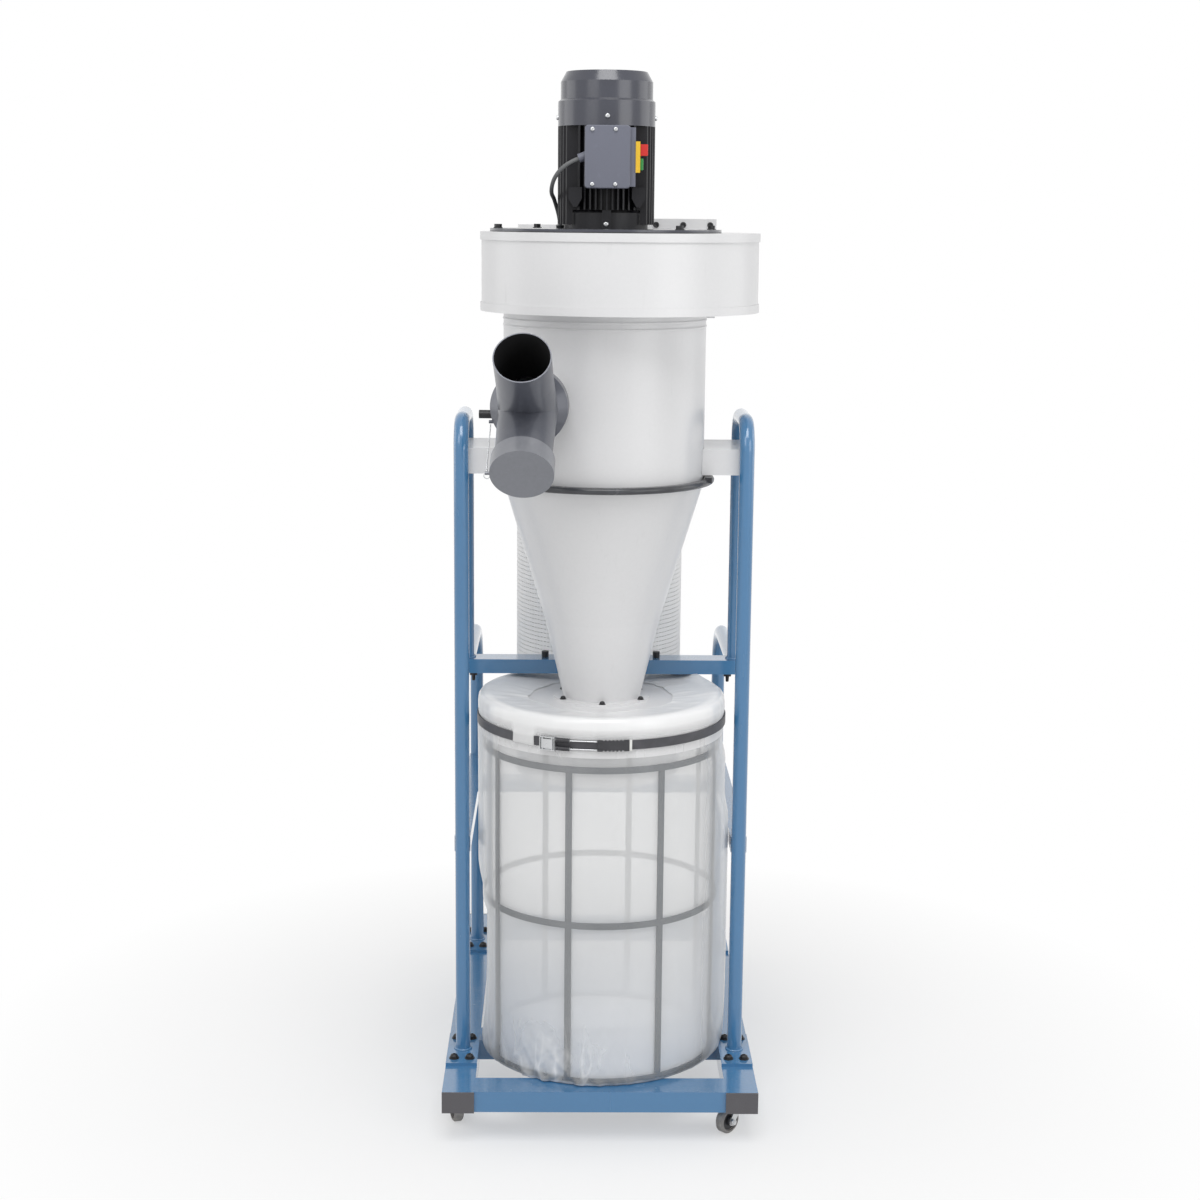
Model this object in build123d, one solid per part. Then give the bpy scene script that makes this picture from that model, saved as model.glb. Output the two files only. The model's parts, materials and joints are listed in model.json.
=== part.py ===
from build123d import *
import os
from math import cos, radians, sin, sqrt, tan

# Overall frame sizes in millimetres: floor at z = 0, cyclone axis at x = y = 0 until the last shift
base_width = 589.0
base_length = 1000.0
front_overhang = 260.0
rail_width = 60.0
rail_height = 40.0
rail_wall = 3.0
end_cap_thickness = 4.0
end_cap_plug = 22.0
seat_gap = 0.3

# Casters
wheel_diameter = 50.0
wheel_width = 18.0
wheel_tread = 6.0
wheel_crown = 3.0
wheel_web_recess = 4.0
wheel_hub_wall = 5.0
caster_height = 65.0
caster_trail = 30.0
caster_inset = 84.0
caster_plate_size = 54.0
caster_plate_thickness = 2.5
race_radius = 18.0
race_height = 4.0
kingpin_radius = 5.0
kingpin_head_radius = 8.0
kingpin_head_height = 2.7
fork_crown_height = 4.2
fork_leg_thickness = 2.5
fork_leg_gap = 2.5
fork_boss_radius = 8.0
fork_leg_setback = 2.0
axle_radius = 4.0
axle_head_radius = 6.5
axle_head_height = 3.0
running_gap = 0.05
caster_turns = {"left_front": 17.0, "right_front": 133.0, "left_rear": 12.0, "right_rear": -9.0}

# Base cross-members, front edges measured from the cyclone axis
front_member_edge = -254.0
front_member_depth = 64.0
middle_member_edge = -10.0
middle_member_depth = 65.0
rear_member_inset = 70.0

# Posts and the upper frame
post_diameter = 28.0
foot_plate_length = 147.0
foot_plate_thickness = 6.0
front_post_y = -62.0
post_loop_spacing = 202.0
loop_bend_radius = 50.0
post_top = 1348.0
rear_post_y = 557.0
rear_bend_radius = 95.0
upper_member_depth = 50.0
upper_member_bottom = 820.0
upper_member_end = 16.0
side_rail_size = 30.0
side_rail_top = 540.0
filter_member_front = 335.0
filter_member_depth = 50.0
filter_member_height = 25.0

# Cyclone body
sheet = 2.0
barrel_radius = 188.0
barrel_bottom = 1224.0
barrel_top = 1536.0
bead_height = 3.0
bead_drops = (14.0, 26.0)
cone_break_radius = 109.5
cone_break_height = 957.0
cone_outlet_radius = 74.0
clamp_ring_width = 19.7
clamp_ring_height = 12.0
clamp_ring_corner = 5.5
latch_turn = 72.0
latch_width = 14.0
latch_depth = 9.0
latch_height = 10.0
latch_hook = 4.0
arm_bottom = 1236.0
arm_height = 48.0
arm_lap = 5.5

# Dust lid, bag, cage and strap
lid_radius = 234.0
lid_top = 802.0
lid_skirt = 62.0
lid_edge = 6.0
lid_rim_rise = 10.0
lid_rim_width = 22.0
lid_rim_slope = 14.0
cone_flange_radius = 92.0
cone_flange_thickness = 4.0
film = 1.2
bag_top = 788.0
bag_foot_taper = 6.0
bag_foot_height = 40.0
cage_clearance = 7.0
cage_bar_width = 12.0
cage_bar_thickness = 3.0
cage_middle_height = 417.5
cage_top_height = 715.0
cage_bars = 8
cage_turn = 29.0
strap_height = 17.0
strap_thickness = 2.5
strap_level = 766.0
buckle_width = 30.0
buckle_height = 25.0
buckle_depth = 9.0
buckle_wall = 1.5
buckle_turn = -24.4
lever_width = 22.0
lever_height = 17.0
lever_thickness = 2.0
pin_radius = 1.5
spring_radius = 4.0
spring_length = 27.0
spring_coils = 6
spring_groove = 0.8
spring_spread = 15.5
spring_turn = -17.6
link_radius = 1.2
link_length = 60.0
link_turn = -7.6
rack_length = 58.0
rack_height = 21.0
rack_thickness = 3.0
rack_turn = 4.4
rack_notches = 6
rack_notch_pitch = 7.0
rack_notch_radius = 2.0
hanger_spacing = 220.0
hanger_stud_radius = 5.0
hanger_head_radius = 7.0
hanger_head_height = 12.0

# Fan housing and outlet
housing_offset = 27.0
housing_radius = 258.0
housing_height = 143.0
housing_rim = 15.0
fan_inlet_radius = 95.0
outlet_width = 150.0
outlet_centre = 130.0
outlet_margin = 4.0
outlet_flange_y = 262.0
outlet_flange_thickness = 5.0
outlet_flange_width = 184.0
outlet_flange_rise = 25.0

# Filter behind the cyclone
filter_y = 450.0
filter_radius = 173.0
pleat_count = 72
pleat_depth = 10.0
pleat_core = 8.0
filter_bottom = 640.0
filter_top = 1470.0
filter_head_top = 1690.0
pan_lip = 1.0

# Motor, its plate and its cowl
gasket_thickness = 1.5
motor_plate_radius = 213.0
motor_plate_thickness = 4.5
motor_radius = 88.7
motor_core_radius = 74.0
motor_top = 1965.0
end_bell_radius = 77.0
end_bell_height = 34.0
end_bell_edge = 5.0
bell_lug_width = 16.0
bell_lug_stand = 7.0
motor_body_height = 149.0
fin_count = 11
fin_pitch = 10.0
fin_thickness = 3.0
fin_overrun = 1.0
side_fin_drop = 26.0
side_fin_gap = 3.0
foot_pad_spread = 114.0
foot_pad_width = 24.0
foot_pad_height = 20.0
foot_pad_rise = 20.0
foot_pad_front = 85.0
foot_rib_drop = 15.0
foot_rib_width = 7.0
cowl_band_height = 48.0
cowl_shoulder = 4.0
cowl_upper_radius = 84.0
cowl_crown_radius = 74.0
cowl_crown_height = 18.0
grille_slot = 5.0
grille_pitch = 11.5
grille_margin = 6.0
grille_rings = 4
grille_spokes = 6
grille_spoke_width = 7.0

# Switch box, switch and buttons
switch_box_left = -38.0
switch_box_right = 50.0
switch_box_front = -118.0
switch_box_middle = 1811.5
switch_box_height = 103.0
cover_width = 81.0
cover_height = 110.0
cover_thickness = 7.0
cover_corner = 6.0
cover_edge = 1.5
bezel_width = 38.0
bezel_height = 54.0
bezel_depth = 8.0
bezel_y = -102.0
button_width = 26.0
button_height = 20.0
button_pitch = 25.0
button_travel = 3.0
stop_button_rise = 14.0
start_button_rise = 6.0
button_edge = 1.5
button_seat = 1.0

# Tangential inlet and its moulded wye
inlet_clocking = 3.3
inlet_height = 1376.0
inlet_pipe_radius = 64.0
inlet_pipe_lap = 36.0
collar_wall = 4.7
collar_clearance = 2.0
collar_length = 43.0
wye_neck = 22.5
wye_angle = 37.0
wye_wall = 2.0
wye_shoulder_radius = 46.0
wye_shoulder_lap = 12.0
branch_start = 14.0
branch_root_radius = 52.5
branch_length = 162.0
port_radius = 50.0
port_length = 70.0
cap_wall = 5.0
cap_skirt = 32.0
cap_end = 4.0
knob_radius = 7.5
knob_length = 19.0
knob_drop = 15.0
lug_radius = 3.0
lug_root = 8.0
lug_tip = 3.0

# Motor lead and cap chain
lead_diameter = 7.5
gland_radius = 8.0
gland_length = 14.0
gland_root = 6.0
lead_route = [
    (-51, -104, 1808.5), (-62, -104, 1804), (-74, -102, 1797), (-85.5, -96.5, 1787), (-94, -86.5, 1775),
    (-98.5, -71.5, 1763), (-100, -52.5, 1753), (-99.5, -30.5, 1746.5), (-97.5, -8, 1742.5),
    (-95.5, 12, 1738.5), (-93.8, 28.5, 1732.5), (-91.3, 41, 1724.5), (-88.3, 50.5, 1714),
    (-85.8, 56.3, 1702.8), (-84.3, 58.5, 1691.5),
]
chain_diameter = 2.5
chain_route = [
    (-204, -217, 1345), (-205, -236, 1325), (-206, -258, 1307), (-207, -283, 1293),
    (-207, -310, 1283), (-206, -337, 1277), (-205, -361, 1276),
]

# Places worked out from the sizes above
rail_top = caster_height + rail_height
rail_x = (base_width - rail_width) / 2
arm_reach = rail_x + arm_lap
rail_front = -front_overhang
rail_rear = rail_front + base_length
rear_member_edge = rail_rear - rear_member_inset
post_radius = post_diameter / 2
foot_top = rail_top + foot_plate_thickness
loop_rear_y = front_post_y + post_loop_spacing
upper_member_front = loop_rear_y - upper_member_depth / 2
upper_member_rear = upper_member_front + upper_member_depth
upper_member_top = upper_member_bottom + post_diameter
upper_member_mid = upper_member_bottom + post_radius
housing_bottom = barrel_top
housing_top = housing_bottom + housing_height
motor_plate_bottom = housing_top + gasket_thickness
motor_base = motor_plate_bottom + motor_plate_thickness
body_bottom = motor_base + end_bell_height
body_top = body_bottom + motor_body_height
cowl_step = body_top + cowl_band_height
bag_bottom = rail_top + seat_gap
cage_bottom = bag_bottom + film + seat_gap
bag_inner = lid_radius + seat_gap
bag_outer = bag_inner + film
bag_foot_radius = bag_outer - bag_foot_taper
cage_radius = lid_radius - cage_clearance
strap_inner = bag_outer + seat_gap
strap_outer = strap_inner + strap_thickness
cone_bottom = lid_top + cone_flange_thickness
clamp_ring_inner = barrel_radius + seat_gap
clamp_ring_radius = clamp_ring_inner + clamp_ring_width
inlet_offset = barrel_radius - inlet_pipe_radius - sheet / 2
collar_radius = inlet_pipe_radius + seat_gap + collar_wall
collar_back = barrel_radius + collar_clearance
collar_front = collar_back + collar_length
inlet_pipe_end = collar_back + inlet_pipe_lap
wye_reach = collar_front + wye_neck
cap_radius = port_radius + seat_gap + cap_wall
filter_member_top = side_rail_top
pan_bottom = filter_member_top + seat_gap
inlet_place = Rot(Z=-inlet_clocking) * Pos(-inlet_offset, 0, inlet_height)


def disc(radius, low, high, x=0.0, y=0.0):
    """Upright cylinder between two heights."""
    return Pos(x, y, (low + high) / 2) * Cylinder(radius, high - low)


def ring(outer, inner, low, high, x=0.0, y=0.0):
    """Upright cylinder with a bore right through it."""
    return disc(outer, low, high, x, y) - disc(inner, low, high, x, y)


def block(x0, x1, y0, y1, z0, z1):
    """Box between two corners."""
    middle = Pos((x0 + x1) / 2, (y0 + y1) / 2, (z0 + z1) / 2)
    return middle * Box(x1 - x0, y1 - y0, z1 - z0)


def turned(points):
    """Profile of (radius, height) points turned about the z axis."""
    outline = make_face(Polyline(*points, close=True))
    return revolve(Plane.XZ * outline, Axis.Z)


def forward(radius, near, far, end_radius=None):
    """Cylinder or cone along -y, from one distance in front of the axis to another."""
    place = Pos(0, -(near + far) / 2, 0) * Rot(X=90)
    if end_radius is None:
        return place * Cylinder(radius, far - near)
    return place * Cone(radius, end_radius, far - near)


def box_tube(x0, x1, y0, y1, z0, z1, wall, along):
    """Rectangular tube, open at both ends of its long axis."""
    inset_x, inset_y = {"x": (0, wall), "y": (wall, 0)}[along]
    outside = block(x0, x1, y0, y1, z0, z1)
    return outside - block(x0 + inset_x, x1 - inset_x, y0 + inset_y, y1 - inset_y, z0 + wall, z1 - wall)


def bent_tube(radius, points, radii):
    """Round bar along straight runs joined by tangent arcs."""
    path = FilletPolyline(*points, radius=radii)
    section = Plane(origin=path @ 0, z_dir=path % 0) * Circle(radius)
    return sweep(section, path=path)


def cord_radii(route):
    """Largest arc that each corner of a cord's route has room for."""
    points = [Vector(*point) for point in route]
    radii = []
    for before, here, after in zip(points, points[1:], points[2:]):
        turn = (here - before).get_angle(after - here)
        shorter = min((here - before).length, (after - here).length)
        radii.append(0.45 * shorter / tan(radians(turn) / 2))
    return radii


# Base frame
def base_rail(side):
    x = side * rail_x
    ends = (rail_front + end_cap_thickness, rail_rear - end_cap_thickness)
    half = rail_width / 2
    return box_tube(x - half, x + half, *ends, caster_height, rail_top, rail_wall, "y")


def base_member(front_edge, depth):
    half = rail_x - rail_width / 2
    return box_tube(-half, half, front_edge, front_edge + depth, caster_height, rail_top, rail_wall, "x")


def rail_end_cap(side, end):
    x = side * rail_x
    half = rail_width / 2
    inner = rail_wall + seat_gap
    face_y = rail_front if end < 0 else rail_rear
    inside_y = face_y - end * end_cap_thickness
    plug_y = inside_y - end * end_cap_plug
    face = block(x - half, x + half, *sorted((face_y, inside_y)), caster_height, rail_top)
    plug_sides = (x - half + inner, x + half - inner)
    plug = block(*plug_sides, *sorted((inside_y, plug_y)), caster_height + inner, rail_top - inner)
    return face + plug


# Posts
def foot_plate(x, y):
    half_width = rail_width / 2
    half_length = foot_plate_length / 2
    return block(x - half_width, x + half_width, y - half_length, y + half_length, rail_top, foot_top)


def front_post(side):
    x = side * rail_x
    crown = post_top - post_radius
    corners = [
        (x, front_post_y, foot_top), (x, front_post_y, crown),
        (x, loop_rear_y, crown), (x, loop_rear_y, upper_member_top),
    ]
    bends = [loop_bend_radius, loop_bend_radius]
    return bent_tube(post_radius, corners, bends) + foot_plate(x, front_post_y)


def rear_post(side):
    x = side * rail_x
    corners = [
        (x, rear_post_y, foot_top), (x, rear_post_y, upper_member_mid),
        (x, upper_member_rear, upper_member_mid),
    ]
    return bent_tube(post_radius, corners, [rear_bend_radius]) + foot_plate(x, rear_post_y)


def upper_crossmember():
    half = rail_x + upper_member_end
    beam = block(-half, half, upper_member_front, upper_member_rear, upper_member_bottom, upper_member_top)
    for x in (-hanger_spacing / 2, hanger_spacing / 2):
        beam -= disc(hanger_stud_radius + seat_gap, upper_member_bottom, upper_member_top, x, loop_rear_y)
    return beam


def side_rail(side):
    x = side * rail_x
    half = side_rail_size / 2
    bar = block(x - half, x + half, front_post_y, rear_post_y, side_rail_top - side_rail_size, side_rail_top)
    for y in (front_post_y, rear_post_y):
        bar -= disc(post_radius + seat_gap, rail_top, side_rail_top + side_rail_size, x, y)
    return bar.solids().sort_by(SortBy.VOLUME)[-1]


def filter_crossmember():
    half = rail_x - side_rail_size / 2
    low = filter_member_top - filter_member_height
    rear = filter_member_front + filter_member_depth
    return box_tube(-half, half, filter_member_front, rear, low, filter_member_top, rail_wall, "x")


# Casters: the plate stays on the rail, the fork swivels about the kingpin and the wheel turns in the fork
axle_height = wheel_diameter / 2
race_bottom = caster_height - caster_plate_thickness - race_height
crown_top = race_bottom - seat_gap
crown_bottom = crown_top - fork_crown_height
leg_inside = wheel_width / 2 + fork_leg_gap


def caster_plate():
    half = caster_plate_size / 2
    plate = block(-half, half, -half, half, caster_height - caster_plate_thickness, caster_height)
    race = disc(race_radius, race_bottom, caster_height - caster_plate_thickness)
    head_top = crown_bottom - seat_gap
    pin = disc(kingpin_radius, head_top, race_bottom)
    head = disc(kingpin_head_radius, head_top - kingpin_head_height, head_top)
    return plate + race + pin + head


def fork_leg(side):
    crown_end = race_radius - fork_leg_setback
    outline = make_face(
        [
            Line((-fork_boss_radius, crown_top), (crown_end, crown_top)),
            Line((crown_end, crown_top), (caster_trail + fork_boss_radius, axle_height)),
            ThreePointArc(
                (caster_trail + fork_boss_radius, axle_height),
                (caster_trail, axle_height - fork_boss_radius),
                (caster_trail - fork_boss_radius, axle_height),
            ),
            Line((caster_trail - fork_boss_radius, axle_height), (-fork_boss_radius, crown_top)),
        ]
    )
    middle = side * (leg_inside + fork_leg_thickness / 2)
    upright = Plane(origin=(0, 0, 0), x_dir=(0, 1, 0), z_dir=(1, 0, 0))
    return Pos(middle, 0, 0) * extrude(upright * outline, amount=fork_leg_thickness / 2, both=True)


def caster_fork():
    crown = ring(race_radius, kingpin_radius + running_gap, crown_bottom, crown_top)
    sideways = Pos(0, caster_trail, axle_height) * Rot(Y=90)
    outside = leg_inside + fork_leg_thickness
    axle = sideways * Cylinder(axle_radius, 2 * outside)
    head = sideways * Cylinder(axle_head_radius, axle_head_height)
    head_x = outside + axle_head_height / 2
    return crown + fork_leg(-1) + fork_leg(1) + axle + Pos(-head_x, 0, 0) * head + Pos(head_x, 0, 0) * head


def caster_wheel():
    radius = wheel_diameter / 2
    half = wheel_width / 2
    hub_half = leg_inside - seat_gap
    hub_radius = axle_radius + wheel_hub_wall
    tread_inner = radius - wheel_tread
    shoulder = radius - wheel_crown
    web_half = half - wheel_web_recess
    profile = [
        (axle_radius + running_gap, -hub_half), (hub_radius, -hub_half), (hub_radius, -web_half),
        (tread_inner, -web_half), (tread_inner, -half), (shoulder, -half), (radius, -half + wheel_crown),
        (radius, half - wheel_crown), (shoulder, half), (tread_inner, half), (tread_inner, web_half),
        (hub_radius, web_half), (hub_radius, hub_half), (axle_radius + running_gap, hub_half),
    ]
    return Pos(0, caster_trail, axle_height) * Rot(Y=90) * turned(profile)


def caster_places():
    """Name and kingpin place of each caster."""
    rows = {"front": rail_front + caster_inset, "rear": rail_rear - caster_inset}
    sides = {"left": -rail_x, "right": rail_x}
    return {f"{side}_{row}": Pos(x, y, 0) for row, y in rows.items() for side, x in sides.items()}


# Cyclone
def inlet_bore():
    """Way in from the inlet pipe's mouth to the middle of the barrel."""
    return inlet_place * forward(inlet_pipe_radius - sheet, 0, inlet_pipe_end)


def barrel_bead(z):
    low = z - bead_height
    high = z + bead_height
    inner = barrel_radius - sheet
    ridge = barrel_radius + bead_height / 2
    return turned([(inner, low), (barrel_radius, low), (ridge, z), (barrel_radius, high), (inner, high)])


def cyclone_barrel():
    outside = disc(barrel_radius, barrel_bottom, barrel_top)
    for drop in bead_drops:
        outside += barrel_bead(barrel_top - drop)
    return outside - disc(barrel_radius - sheet, barrel_bottom, barrel_top) - inlet_bore()


def inlet_pipe():
    """Tangential pipe with its end cut to saddle the barrel."""
    pipe = inlet_place * forward(inlet_pipe_radius, 0, inlet_pipe_end)
    return pipe - inlet_bore() - disc(barrel_radius + seat_gap, barrel_bottom, barrel_top)


def cyclone_cone():
    collar_bottom = barrel_bottom - clamp_ring_height / 2
    inner = barrel_radius - sheet
    return turned([
        (barrel_radius, barrel_bottom), (barrel_radius, collar_bottom),
        (cone_break_radius, cone_break_height), (cone_outlet_radius, cone_bottom),
        (cone_flange_radius, cone_bottom), (cone_flange_radius, lid_top),
        (cone_outlet_radius - sheet, lid_top), (cone_break_radius - sheet, cone_break_height),
        (inner, collar_bottom), (inner, barrel_bottom),
    ])


def clamp_ring():
    """Rounded band over the joint of barrel and cone, with its latch."""
    middle = clamp_ring_inner + clamp_ring_width / 2
    section = RectangleRounded(clamp_ring_width, clamp_ring_height, clamp_ring_corner)
    band = revolve(Plane.XZ * Pos(middle, barrel_bottom) * section, Axis.Z)
    half = latch_width / 2
    top = barrel_bottom + latch_height
    outer = clamp_ring_radius
    lever = block(-half, half, -outer, latch_depth - outer, barrel_bottom, top)
    hook = block(-half, latch_hook - half, -outer - latch_hook, latch_depth - outer, barrel_bottom, top)
    return band + Rot(Z=latch_turn) * (lever + hook)


def support_arm(side):
    front = front_post_y + post_radius + seat_gap
    rear = loop_rear_y - post_radius - seat_gap
    ends = sorted((side * barrel_radius / 2, side * arm_reach))
    arm = block(*ends, front, rear, arm_bottom, arm_bottom + arm_height)
    arm -= disc(barrel_radius + seat_gap, arm_bottom, arm_bottom + arm_height)
    return arm


# Lid, bag, cage and strap
def bin_lid():
    """Pressed lid: flat seat for the cone, raised rim and a straight skirt."""
    low = lid_top - lid_skirt
    hole = cone_outlet_radius - sheet
    inner = lid_radius - sheet
    under = lid_top - sheet
    crest = lid_top + lid_rim_rise
    crest_under = crest - sheet
    brow = lid_radius - lid_rim_width
    foot = brow - lid_rim_slope
    return turned([
        (hole, lid_top), (foot, lid_top), (brow, crest), (lid_radius - lid_edge, crest),
        (lid_radius, crest - lid_edge), (lid_radius, low), (inner, low), (inner, crest_under - lid_edge),
        (inner - lid_edge, crest_under), (brow, crest_under), (foot, under), (hole, under),
    ])


def lid_hanger(x):
    stud = disc(hanger_stud_radius, upper_member_bottom, upper_member_top, x, loop_rear_y)
    head = disc(hanger_head_radius, upper_member_top, upper_member_top + hanger_head_height, x, loop_rear_y)
    return stud + head


def dust_bag():
    return turned([
        (0, bag_bottom), (bag_foot_radius, bag_bottom), (bag_outer, bag_bottom + bag_foot_height),
        (bag_outer, bag_top), (bag_inner, bag_top), (bag_inner, bag_bottom + bag_foot_height),
        (bag_foot_radius - film, bag_bottom + film), (0, bag_bottom + film),
    ])


def bag_cage():
    inner = cage_radius - cage_bar_thickness
    levels = [cage_bottom + cage_bar_width / 2, cage_middle_height, cage_top_height]
    cage = Part()
    for level in levels:
        cage += ring(cage_radius, inner, level - cage_bar_width / 2, level + cage_bar_width / 2)
    lap = cage_bar_thickness / 2
    bar_top = cage_top_height + cage_bar_width / 2
    half = cage_bar_width / 2
    bar = block(-half, half, -inner - lap, -inner - lap + cage_bar_thickness, cage_bottom, bar_top)
    for index in range(cage_bars):
        cage += Rot(Z=cage_turn + index * 360 / cage_bars) * bar
    return cage


def bag_strap():
    half = strap_height / 2
    return ring(strap_outer, strap_inner, strap_level - half, strap_level + half)


def on_strap(turn):
    """Place on the strap's face, with -y pointing away from the bag."""
    return Rot(Z=turn) * Pos(0, -strap_outer - seat_gap, strap_level)


def buckle_body():
    """Shallow tray with a lever plate between two cross pins."""
    half = buckle_width / 2
    tall = buckle_height / 2
    tray = block(-half, half, -buckle_depth, buckle_depth, -tall, tall)
    room_half = half - buckle_wall
    room_tall = tall - buckle_wall
    tray -= block(-room_half, room_half, -buckle_depth, -buckle_depth / 2, -room_tall, room_tall)
    lever_middle = Pos(0, lever_thickness / 2 - buckle_depth, 0)
    tray += lever_middle * Box(lever_width, lever_thickness, lever_height)
    for x in (-lever_width / 2 + pin_radius, lever_width / 2 - pin_radius):
        tray += Pos(x, lever_thickness - buckle_depth, 0) * Cylinder(pin_radius, buckle_height - buckle_wall)
    return tray


def tension_spring():
    """Close-wound spring along x, as a row of round coils."""
    pitch = spring_length / spring_coils
    core = Rot(Y=90) * Cylinder(spring_radius - spring_groove, spring_length)
    for index in range(spring_coils):
        x = (index + 0.5) * pitch - spring_length / 2
        core += Pos(x, 0, 0) * Rot(Y=90) * Cylinder(spring_radius, pitch - spring_groove)
    return core


def strap_rack():
    """Curved plate with notches along both edges for the links to hook on."""
    tall = rack_height / 2
    half = rack_length / 2
    inner = strap_outer + seat_gap
    plate = ring(inner + rack_thickness, inner, strap_level - tall, strap_level + tall)
    plate &= Rot(Z=rack_turn) * block(-half, half, -2 * inner, 0, strap_level - tall, strap_level + tall)
    notch = Rot(X=90) * Cylinder(rack_notch_radius, 4 * buckle_depth)
    first = -(rack_notches - 1) / 2 * rack_notch_pitch
    for index in range(rack_notches):
        x = first + index * rack_notch_pitch
        for edge in (-tall, tall):
            plate -= on_strap(rack_turn) * Pos(x, 0, edge) * notch
    return plate


def strap_buckle():
    """Tray, two springs and two links that hook on the rack at the strap's other end."""
    latch = on_strap(buckle_turn) * buckle_body() - disc(strap_outer + seat_gap, lid_top - lid_skirt, lid_top)
    for level in (-spring_spread / 2, spring_spread / 2):
        latch += on_strap(spring_turn) * Pos(0, -spring_radius, level) * tension_spring()
        link = Rot(Y=90) * Cylinder(link_radius, link_length)
        latch += on_strap(link_turn) * Pos(0, -spring_radius + link_radius, level) * link
    return latch + strap_rack()


# Fan housing and the outlet to the filter
def housing_pan(low, high, edge_low, edge_high):
    """Flat sheet with a turned edge that laps the outside of the wrapper."""
    sheet_disc = disc(housing_radius, low, high, housing_offset)
    edge = ring(housing_radius, housing_radius - sheet, edge_low, edge_high, housing_offset)
    return sheet_disc + edge


def housing_top_pan():
    pan = housing_pan(housing_top - sheet, housing_top, housing_top - housing_rim, housing_top)
    return pan - outlet_space()


def housing_bottom_pan():
    pan = housing_pan(housing_bottom, housing_bottom + sheet, housing_bottom, housing_bottom + housing_rim)
    return pan - disc(fan_inlet_radius, housing_bottom, housing_bottom + sheet) - outlet_space()


def outlet_space():
    """Room that the outlet neck needs through the housing's edge."""
    half = outlet_width / 2 + seat_gap
    low = housing_bottom + sheet + outlet_margin - seat_gap
    high = housing_top - sheet - outlet_margin + seat_gap
    return block(outlet_centre - half, outlet_centre + half, 0, outlet_flange_y, low, high)


def housing_wrapper():
    outer = housing_radius - sheet - seat_gap
    low = housing_bottom + sheet + seat_gap
    high = housing_top - sheet - seat_gap
    return ring(outer, outer - sheet, low, high, housing_offset) - outlet_space()


def flange_frame(y0, y1):
    half = outlet_width / 2
    wide = outlet_flange_width / 2
    low = housing_bottom + sheet + outlet_margin
    high = housing_top - sheet - outlet_margin
    plate = block(
        outlet_centre - wide, outlet_centre + wide, y0, y1,
        housing_bottom - outlet_flange_rise, housing_top + outlet_flange_rise,
    )
    left = outlet_centre - half + sheet
    right = outlet_centre + half - sheet
    return plate - block(left, right, y0, y1, low + sheet, high - sheet)


def outlet_duct(y0, y1):
    half = outlet_width / 2
    low = housing_bottom + sheet + outlet_margin
    high = housing_top - sheet - outlet_margin
    left = outlet_centre - half
    right = outlet_centre + half
    outside = block(left, right, y0, y1, low, high)
    return outside - block(left + sheet, right - sheet, y0, y1, low + sheet, high - sheet)


def outlet_neck():
    duct = outlet_duct(0, outlet_flange_y)
    duct -= disc(housing_radius - 2 * sheet, housing_bottom, housing_top, housing_offset)
    return duct + flange_frame(outlet_flange_y, outlet_flange_y + outlet_flange_thickness)


def filter_head():
    """Drum with a square neck on its side, closed by an end wall where it stands out past the drum."""
    flange_y = outlet_flange_y + outlet_flange_thickness
    end_y = filter_y - sheet
    half = outlet_width / 2
    low = housing_bottom + sheet + outlet_margin
    high = housing_top - sheet - outlet_margin
    left = outlet_centre - half
    right = outlet_centre + half
    drum = disc(filter_radius, filter_top, filter_head_top, 0, filter_y)
    room = disc(filter_radius - sheet, filter_top, filter_head_top - sheet, 0, filter_y)
    neck = outlet_duct(flange_y, end_y) + block(left, right, end_y, filter_y, low, high)
    mouth = block(left + sheet, right - sheet, flange_y, end_y, low + sheet, high - sheet)
    head = drum + (neck - room) - room - mouth
    return head + flange_frame(flange_y, flange_y + outlet_flange_thickness)


def filter_canister():
    """Pleated wall: a star of pleats round an open core."""
    points = []
    for index in range(2 * pleat_count):
        angle = radians(index * 180 / pleat_count)
        radius = filter_radius if index % 2 == 0 else filter_radius - pleat_depth
        points.append((radius * cos(angle), radius * sin(angle)))
    star = make_face(Polyline(*points, close=True))
    core = filter_radius - pleat_depth - pleat_core
    wall = extrude(Pos(0, filter_y, filter_bottom) * (star - Circle(core)), amount=filter_top - filter_bottom)
    return wall


def filter_pan():
    outer = filter_radius + pan_lip
    pan = disc(outer, pan_bottom, filter_bottom, 0, filter_y)
    return pan - disc(outer - sheet, pan_bottom + sheet, filter_bottom, 0, filter_y)


# Motor
def plate_gasket():
    return disc(motor_plate_radius, housing_top, motor_plate_bottom)


def motor_plate():
    return disc(motor_plate_radius, motor_plate_bottom, motor_base)


def motor_end_bell():
    bell = disc(end_bell_radius, motor_base, body_bottom)
    bell = chamfer(bell.edges().sort_by(Axis.Z)[-1], end_bell_edge)
    half = bell_lug_width / 2
    reach = end_bell_radius + bell_lug_stand
    return bell + block(-half, half, -reach, reach, motor_base, body_bottom)


def foot_pad(side):
    """Cast pad for a foot, with a rib that tapers down from it to the fins."""
    x = side * foot_pad_spread / 2
    half = foot_pad_width / 2
    low = body_bottom + foot_pad_rise
    core = sqrt(motor_core_radius ** 2 - (foot_pad_spread / 2 + half) ** 2)
    pad = block(x - half, x + half, -foot_pad_front, -core, low, low + foot_pad_height)
    tip_half = foot_rib_width / 2
    tip = low - foot_rib_drop
    corners = [(x - half, low), (x + half, low), (x + tip_half, tip), (x - tip_half, tip)]
    rib = make_face(Polyline(*corners, close=True))
    middle = (foot_pad_front + core) / 2
    return pad + Pos(0, -middle, 0) * extrude(Plane.XZ * rib, amount=(foot_pad_front - core) / 2, both=True)


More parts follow.
